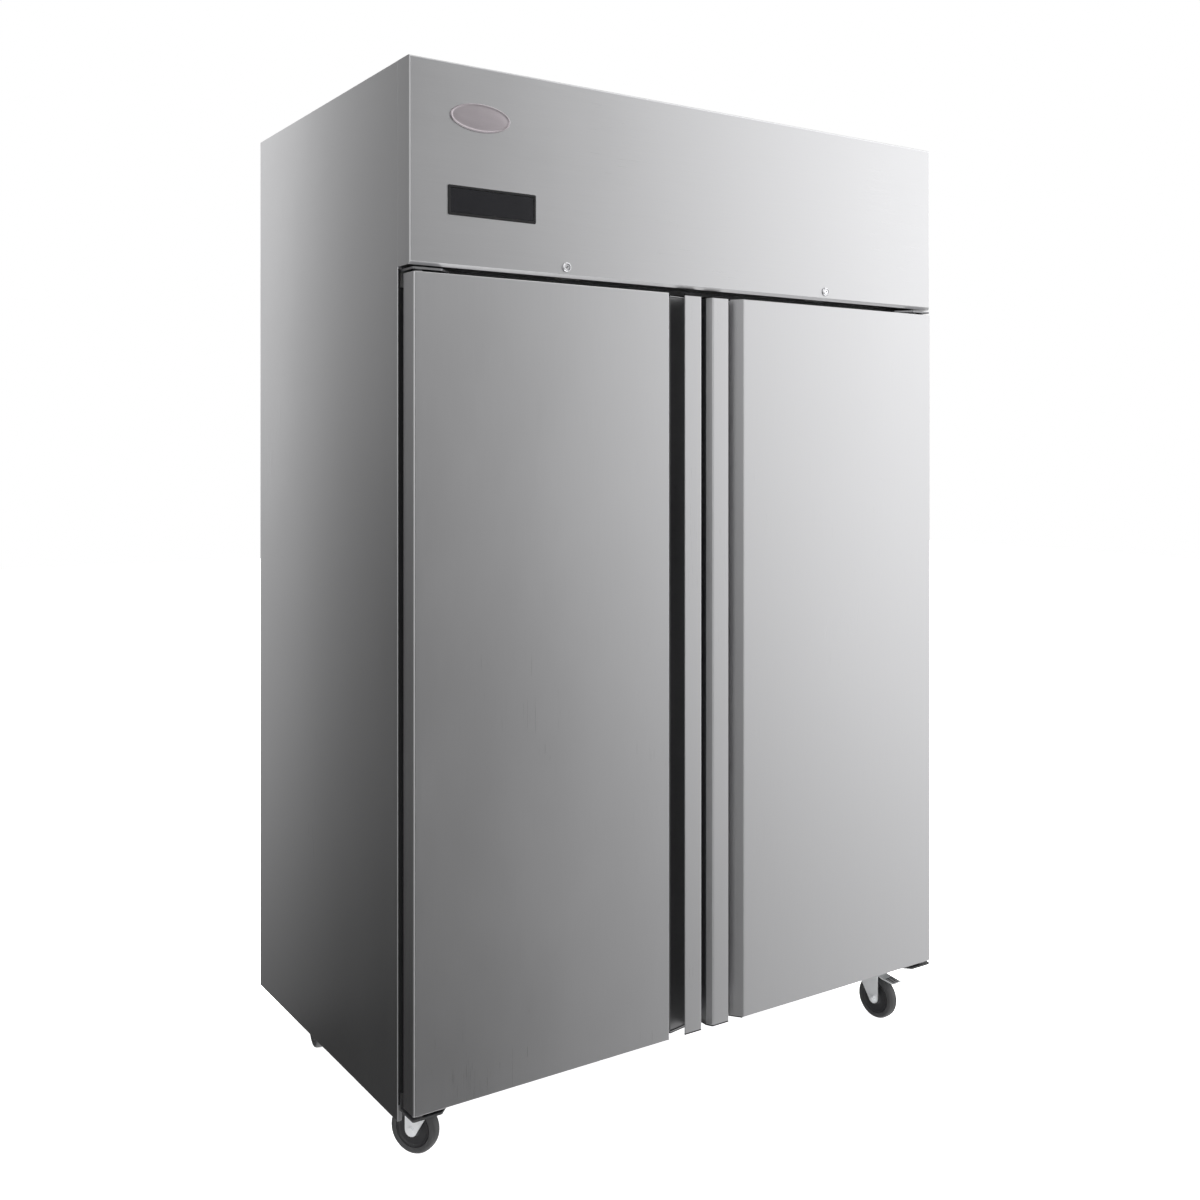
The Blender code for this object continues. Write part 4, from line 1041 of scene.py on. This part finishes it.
def make_shelf_clips():
    """Bent clips that hook into the racks and carry the shelves."""
    bm = bmesh.new()
    thick = 0.0018
    for (side, sign), level in product(SIDES.items(), SHELF_LEVELS):
        under = low(f"shelf_{side}_{level}").z - 0.0004
        for y in RACK_DEPTHS.values():
            y0, y1 = y - 0.009, y + 0.009
            for near, far in ((sign * (INSIDE_X - 0.0090), sign * (INSIDE_X - 0.040)),
                              (sign * 0.0214, sign * 0.070)):
                root = near + math.copysign(0.0016, far - near)
                add_box(bm, (near, y0, under - thick), (far, y1, under))
                add_box(bm, (near, y0, under - 0.018), (root, y1, under - 0.0016))
    piece("shelf_clips", bm, "cabinet", "zinc", smooth=30, edge=SOFT_EDGE)


def add_fan_guard(bm, hub, radii, steps, wire, spoke_reaches, spoke_gap, spoke_wire):
    """Wire rings round the point hub on a fan's axis, and four spokes that hold them."""
    for radius in radii:
        ring = ellipse(hub.x, hub.z, radius, radius, hub.y, steps)
        add_tube(bm, ring, wire, 6, closed=True)
    for degrees in (45, 135, 225, 315):
        a = math.radians(degrees)
        path = [(hub.x + r * math.cos(a), hub.y + spoke_gap, hub.z + r * math.sin(a))
                for r in spoke_reaches]
        add_tube(bm, path, spoke_wire, 6)


def make_evaporator_details():
    lo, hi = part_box("evaporator_cover")
    bm = bmesh.new()
    for side in SIDES:
        hub = joint_place(f"evaporator_fan_{side}_spin")
        hub.y = lo.y - 0.0030
        add_fan_guard(bm, hub, (0.010, 0.020, 0.030, 0.040, 0.0475), 40, 0.0010,
                      (0.0090, 0.0300, 0.0510), 0.0016, 0.0012)
    piece("evaporator_fan_guards", bm, "cabinet", "zinc", smooth=70)
    bm = bmesh.new()
    add_screws(bm, (lo.x + 0.02, -0.06, 0.06, hi.x - 0.02), [lo.y],
               (lo.z + 0.012, hi.z - 0.012), (0, -1, 0), 0.0036, 0.0014)
    piece("evaporator_screws", bm, "cabinet", "zinc")


# ---- cooling unit, back and top

SUCTION_PIPE = 0.0048
THIN_PIPE = 0.0034
COIL_PIPE = 0.0042
BACK_SCREW_HEAD = 0.0014


def make_cooling_unit():
    make_compressor_fittings()
    make_pipes()
    make_condenser_guard()


def make_compressor_fittings():
    """The shell's welded seam, the box over the terminals, and four rubber feet."""
    lo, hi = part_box("compressor")
    middle = (lo + hi) / 2
    seam = [(0.0775, lo.z + 0.088), (0.0800, lo.z + 0.089), (0.0800, lo.z + 0.094),
            (0.0775, lo.z + 0.095)]
    foot = [(0.011, lo.z + 0.0062), (0.011, lo.z + 0.014), (0.006, lo.z + 0.016),
            (0.006, lo.z + 0.024)]
    bm = add_lathe(bmesh.new(), seam, "Z", middle.xy, 56, ring=True)
    add_box(bm, (middle.x + 0.062, middle.y - 0.030, lo.z + 0.050),
            (middle.x + 0.098, middle.y + 0.030, lo.z + 0.110))
    for dx, dy in product((-0.0609, 0.0609), (-0.0525, 0.0525)):
        add_lathe(bm, foot, "Z", (middle.x + dx, middle.y + dy), 20)
    piece("compressor_fittings", bm, "cabinet", "black", smooth=35, edge=0.0008)


def make_pipes():
    """The condenser's return bends, and the pipes from and to the compressor."""
    lo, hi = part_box("compressor")
    cx, cy, base = (lo.x + hi.x) / 2, (lo.y + hi.y) / 2, lo.z
    coil_lo, coil_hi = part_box("condenser_coil")
    coil_y = (coil_lo.y + coil_hi.y) / 2
    bm = bmesh.new()
    for z in evenly(coil_lo.z + 0.016, coil_hi.z - 0.016, 9):
        for x, way in ((coil_lo.x, -1), (coil_hi.x, 1)):
            bend = [(x + way * (0.002 + 0.011 * math.sin(a)), coil_y - 0.012 * math.cos(a), z)
                    for a in evenly(0.0, math.pi, 9)]
            add_tube(bm, bend, COIL_PIPE, 8)
    suction = smooth_path([
        (cx - 0.060, cy - 0.020, base + 0.070), (cx - 0.110, cy - 0.020, base + 0.074),
        (cx - 0.160, cy + 0.010, base + 0.050), (cx - 0.210, cy + 0.060, base + 0.018),
        (cx - 0.300, cy + 0.100, base + 0.012), (0.020, 0.245, base + 0.012),
        (0.000, 0.262, base + 0.006),
    ])
    add_tube(bm, suction, SUCTION_PIPE, 10)
    discharge = smooth_path([
        (cx - 0.050, cy - 0.050, base + 0.050), (cx - 0.100, cy - 0.105, base + 0.060),
        (cx - 0.190, cy - 0.140, base + 0.120), (coil_hi.x + 0.060, 0.010, base + 0.200),
        (coil_hi.x + 0.024, 0.004, base + 0.234), (coil_hi.x + 0.002, 0.004, base + 0.236),
    ])
    add_tube(bm, discharge, THIN_PIPE, 10)
    liquid = smooth_path([
        (coil_hi.x + 0.002, 0.012, base + 0.014), (coil_hi.x + 0.040, 0.020, base + 0.013),
        (-0.060, 0.080, base + 0.018), (-0.020, 0.160, base + 0.018),
        (-0.030, 0.250, base + 0.016), (-0.030, 0.262, base + 0.006),
    ])
    add_tube(bm, liquid, THIN_PIPE, 10)
    piece("refrigerant_pipes", bm, "cabinet", "copper", smooth=70)
    drier = [(0.0060, 0.140), (0.0095, 0.146), (0.0095, 0.186), (0.0060, 0.192)]
    bm = add_lathe(bmesh.new(), drier, "Y", (-0.0215, base + 0.0185), 24)
    piece("filter_drier", bm, "cabinet", "zinc", smooth=40)


def make_condenser_guard():
    hub = joint_place("condenser_fan_spin")
    back = high("condenser_shroud").y
    hub.y = back + 0.0022
    bm = bmesh.new()
    add_fan_guard(bm, hub, (0.020, 0.036, 0.052, 0.068, 0.084, 0.100, 0.115), 56, 0.0013,
                  (0.004, 0.060, 0.121), 0.0024, 0.0018)
    plate = [(0.022, back + 0.001), (0.022, back + 0.0036)]
    add_lathe(bm, plate, "Y", (hub.x, hub.z), 32)
    piece("condenser_fan_guard", bm, "cabinet", "zinc", smooth=60)


def make_back_and_top():
    bm = bmesh.new()
    lo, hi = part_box("back_panel")
    sunk = [hi.y - BACK_SCREW_HEAD]
    add_screws(bm, (lo.x + 0.012, hi.x - 0.012), sunk, evenly(lo.z + 0.04, hi.z - 0.04, 9),
               (0, 1, 0), 0.0044, BACK_SCREW_HEAD)
    lo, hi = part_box("rear_grille")
    add_screws(bm, (lo.x + 0.012, -0.33, 0.0, 0.33, hi.x - 0.012), sunk,
               (lo.z + 0.010, hi.z - 0.010), (0, 1, 0), 0.0044, BACK_SCREW_HEAD)
    piece("back_screws", bm, "cabinet", "zinc")

    lo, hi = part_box("top_cover")
    bm = bmesh.new()
    add_screws(bm, (lo.x + 0.03, -0.20, 0.20, hi.x - 0.03), (lo.y + 0.03, hi.y - 0.03), [hi.z],
               (0, 0, 1), 0.0042, 0.0012)
    piece("top_screws", bm, "cabinet", "zinc")


# ---- CAD nodes that stay

def each(pattern, names=SIDES):
    return [pattern.format(name) for name in names]


# (look, bevel, nodes)
KEPT = [
    ("galvanised", SOFT_EDGE, ["back_panel", "rear_grille", "top_cover", "base_pan"]),
    ("foam", 0.0, ["insulation_body", *each("door_{}_core")]),
    ("frame", SOFT_EDGE, ["door_frame"]),
    ("frame", 0.0012, ["mullion"]),
    ("steel_level", 0.0004, ["evaporator_cover"]),
    ("aluminium", 0.0, ["evaporator_coil", "condenser_coil"]),
    ("black", 0.0, ["compressor"]),
    ("black", 0.0006, ["condenser_shroud", *each("hinge_bottom_{}")]),
    ("hinge", 0.0006, each("hinge_top_{}")),
    ("plastic", 0.0004, ["condenser_fan"]),
    ("plastic", SOFT_EDGE, each("evaporator_fan_{}")),
    ("zinc", SOFT_EDGE, each("lock_cam_{}") + each("brake_pedal_front_{}")),
    ("zinc", 0.0004, each("castor_plate_{}", CASTORS)),
    ("zinc", 0.0005, each("castor_fork_{}", CASTORS)),
]


def dress_kept_nodes():
    for look, edge, names in KEPT:
        for name in names:
            obj = NODES[name]
            if not obj.material_slots:
                obj.data.materials.append(LOOKS[look])
            for slot in obj.material_slots:
                slot.material = LOOKS[look]
            if edge:
                bevel(obj, edge)


# ---- stage, light and camera

def make_stage():
    """A floor that lights the object from below but is not mirrored in its steel."""
    mesh = bpy.data.meshes.new("floor")
    reach = 14.0
    mesh.from_pydata(
        [(-reach, -reach, 0), (reach, -reach, 0), (reach, reach, 0), (-reach, reach, 0)], [],
        [(0, 1, 2, 3)],
    )
    material = bpy.data.materials.new("pale_floor")
    material.use_nodes = True
    shader = material.node_tree.nodes["Principled BSDF"]
    set_inputs(shader, Base_Color=(0.93, 0.93, 0.93, 1.0), Roughness=0.9, Specular_IOR_Level=0.1,
               Emission_Color=(1.0, 1.0, 1.0, 1.0), Emission_Strength=0.85)
    mesh.materials.append(material)
    floor = add_object("floor", mesh)
    floor.visible_glossy = False


# Brightness by direction, as (degrees, brightness) pairs: AROUND goes round the object, from
# behind it through its left and front to its right, and UPWARD goes from below to above.
ROOM_AROUND = [
    (-180, 0.14), (-150, 0.14), (-126, 0.22), (-100, 0.32), (-66, 0.34), (-30, 0.34), (-10, 0.20),
    (8, 0.18), (24, 0.19), (56, 0.40), (84, 0.22), (140, 0.22), (180, 0.14),
]
ROOM_UPWARD = [(-90, 0.20), (-45, 0.22), (-26, 0.26), (-8, 0.58), (8, 1.28), (28, 1.7), (90, 1.7)]
KEY_AROUND = [(-180, 0.0), (16, 0.0), (25, 0.02), (32, 0.20), (40, 0.89), (48, 1.26), (61, 1.42),
              (84, 0.90), (115, 0.80), (150, 0.1), (180, 0.0)]
KEY_UPWARD = [(-90, 0.1), (-45, 0.26), (-22, 0.62), (-4, 0.98), (10, 1.02), (30, 1.0), (90, 0.6)]
STRIP_AROUND = [(-180, 0.0), (-66, 0.0), (-54, 0.40), (-42, 0.85), (-20, 0.80), (-8, 0.08),
                (2, 0.0), (180, 0.0)]
STRIP_UPWARD = [(-90, 0.2), (-45, 0.42), (-26, 0.6), (-8, 0.8), (10, 0.95), (90, 0.95)]
FLOOR_GLOW = [(-90, 1.5), (-62, 1.4), (-50, 1.1), (-42, 0.30), (-34, 0.0), (90, 0.0)]
RAMP_FULL = 2.0


def ramp_of(tree, share, pairs, reach):
    """A grey ramp through (angle, brightness) pairs; a white of one stands for RAMP_FULL."""
    ramp = node(tree, "ShaderNodeValToRGB")
    ramp.color_ramp.interpolation = "EASE"
    elements = ramp.color_ramp.elements
    while len(elements) < len(pairs):
        elements.new(0.5)
    for element, (angle, value) in zip(elements, pairs):
        element.position = (angle + reach) / (2 * reach)
        grey = value / RAMP_FULL
        element.color = (grey, grey, grey, 1.0)
    tree.links.new(share, ramp.inputs["Fac"])
    return ramp.outputs["Color"]


def make_world():
    """A soft room whose walls are brighter on some sides, and plain white to the camera."""
    world = bpy.data.worlds.new("studio")
    bpy.context.scene.world = world
    world.use_nodes = True
    tree = world.node_tree
    background = tree.nodes["Background"]
    coords = node(tree, "ShaderNodeTexCoord")
    split = node(tree, "ShaderNodeSeparateXYZ")
    link(tree, coords, "Generated", split, "Vector")
    x, y, z = (split.outputs[i] for i in range(3))
    turn = math_node(tree, "ARCTAN2", x, math_node(tree, "MULTIPLY", y, -1.0))
    around_share = math_node(tree, "MULTIPLY_ADD", turn, 1 / (2 * math.pi), 0.5)
    rise = math_node(tree, "ARCSINE", z)
    upward_share = math_node(tree, "MULTIPLY_ADD", rise, 1 / math.pi, 0.5)
    light = 0.0
    for around, upward in ((ROOM_AROUND, ROOM_UPWARD), (KEY_AROUND, KEY_UPWARD),
                           (STRIP_AROUND, STRIP_UPWARD)):
        level = ramp_of(tree, around_share, around, 180)
        height = ramp_of(tree, upward_share, upward, 90)
        light = math_node(tree, "MULTIPLY_ADD", level, height, light)
    glow = ramp_of(tree, upward_share, FLOOR_GLOW, 90)
    glow = math_node(tree, "MULTIPLY", glow, RAMP_FULL)
    light = math_node(tree, "MULTIPLY_ADD", light, RAMP_FULL ** 2, glow)
    path = node(tree, "ShaderNodeLightPath")
    to_camera = path.outputs["Is Camera Ray"]
    elsewhere = math_node(tree, "SUBTRACT", 1.0, to_camera)
    light = math_node(tree, "MULTIPLY_ADD", light, elsewhere, to_camera)
    tree.links.new(light, background.inputs["Color"])
    background.inputs["Strength"].default_value = 1.0


def area_light(name, at, target, size, energy):
    data = bpy.data.lights.new(name, "AREA")
    data.shape = "RECTANGLE"
    data.size, data.size_y = size
    data.energy = energy
    lamp = add_object(name, data)
    lamp.location = at
    lamp.rotation_euler = (Vector(target) - Vector(at)).to_track_quat("-Z", "Y").to_euler()
    lamp.visible_camera = False
    return lamp


def fade_downwards(lamp):
    """Let a tall light panel grow weaker from its top to its foot."""
    lamp.use_nodes = True
    tree = lamp.node_tree
    emission = tree.nodes["Emission"]
    geometry = node(tree, "ShaderNodeNewGeometry")
    split = node(tree, "ShaderNodeSeparateXYZ")
    link(tree, geometry, "Parametric", split, "Vector")
    ramp = node(tree, "ShaderNodeValToRGB")
    ramp.color_ramp.elements[0].color = (0.08, 0.08, 0.08, 1.0)
    ramp.color_ramp.elements[1].color = (1.0, 1.0, 1.0, 1.0)
    link(tree, split, "Y", ramp, "Fac")
    link(tree, ramp, "Color", emission, "Color")


def make_lights():
    panel = area_light("rear_panel", (-0.82, 1.25, 1.20), (-0.82, 0.0, 1.20), (0.66, 3.2), 7.6)
    fade_downwards(panel.data)
    data = bpy.data.lights.new("overhead", "SUN")
    data.energy = 5.5
    data.angle = math.radians(120)
    lamp = add_object("overhead", data)
    lamp.rotation_euler = (math.radians(12), math.radians(-8), 0.0)
    lamp.visible_glossy = False


def make_camera():
    data = bpy.data.cameras.new("camera")
    data.sensor_width = 36.0
    data.lens = 39.2
    data.shift_y = -0.1186
    camera = add_object("camera", data)
    camera.location = (-1.676, -2.528, 1.308)
    camera.rotation_euler = (math.radians(90), 0.0, math.radians(-33.54))
    bpy.context.scene.camera = camera


make_camera()
make_side_panels()
make_fascia()
make_controller()
make_badge()
make_locks()
for door_side, door_sign in SIDES.items():
    make_door(door_side, door_sign)
make_hinge_details()
make_frame_trims()
for castor in CASTORS:
    make_castor(castor)
make_inside()
make_cooling_unit()
make_back_and_top()
dress_kept_nodes()
make_stage()
make_world()
make_lights()
bpy.context.scene.view_settings.view_transform = "Standard"
bpy.context.view_layer.update()
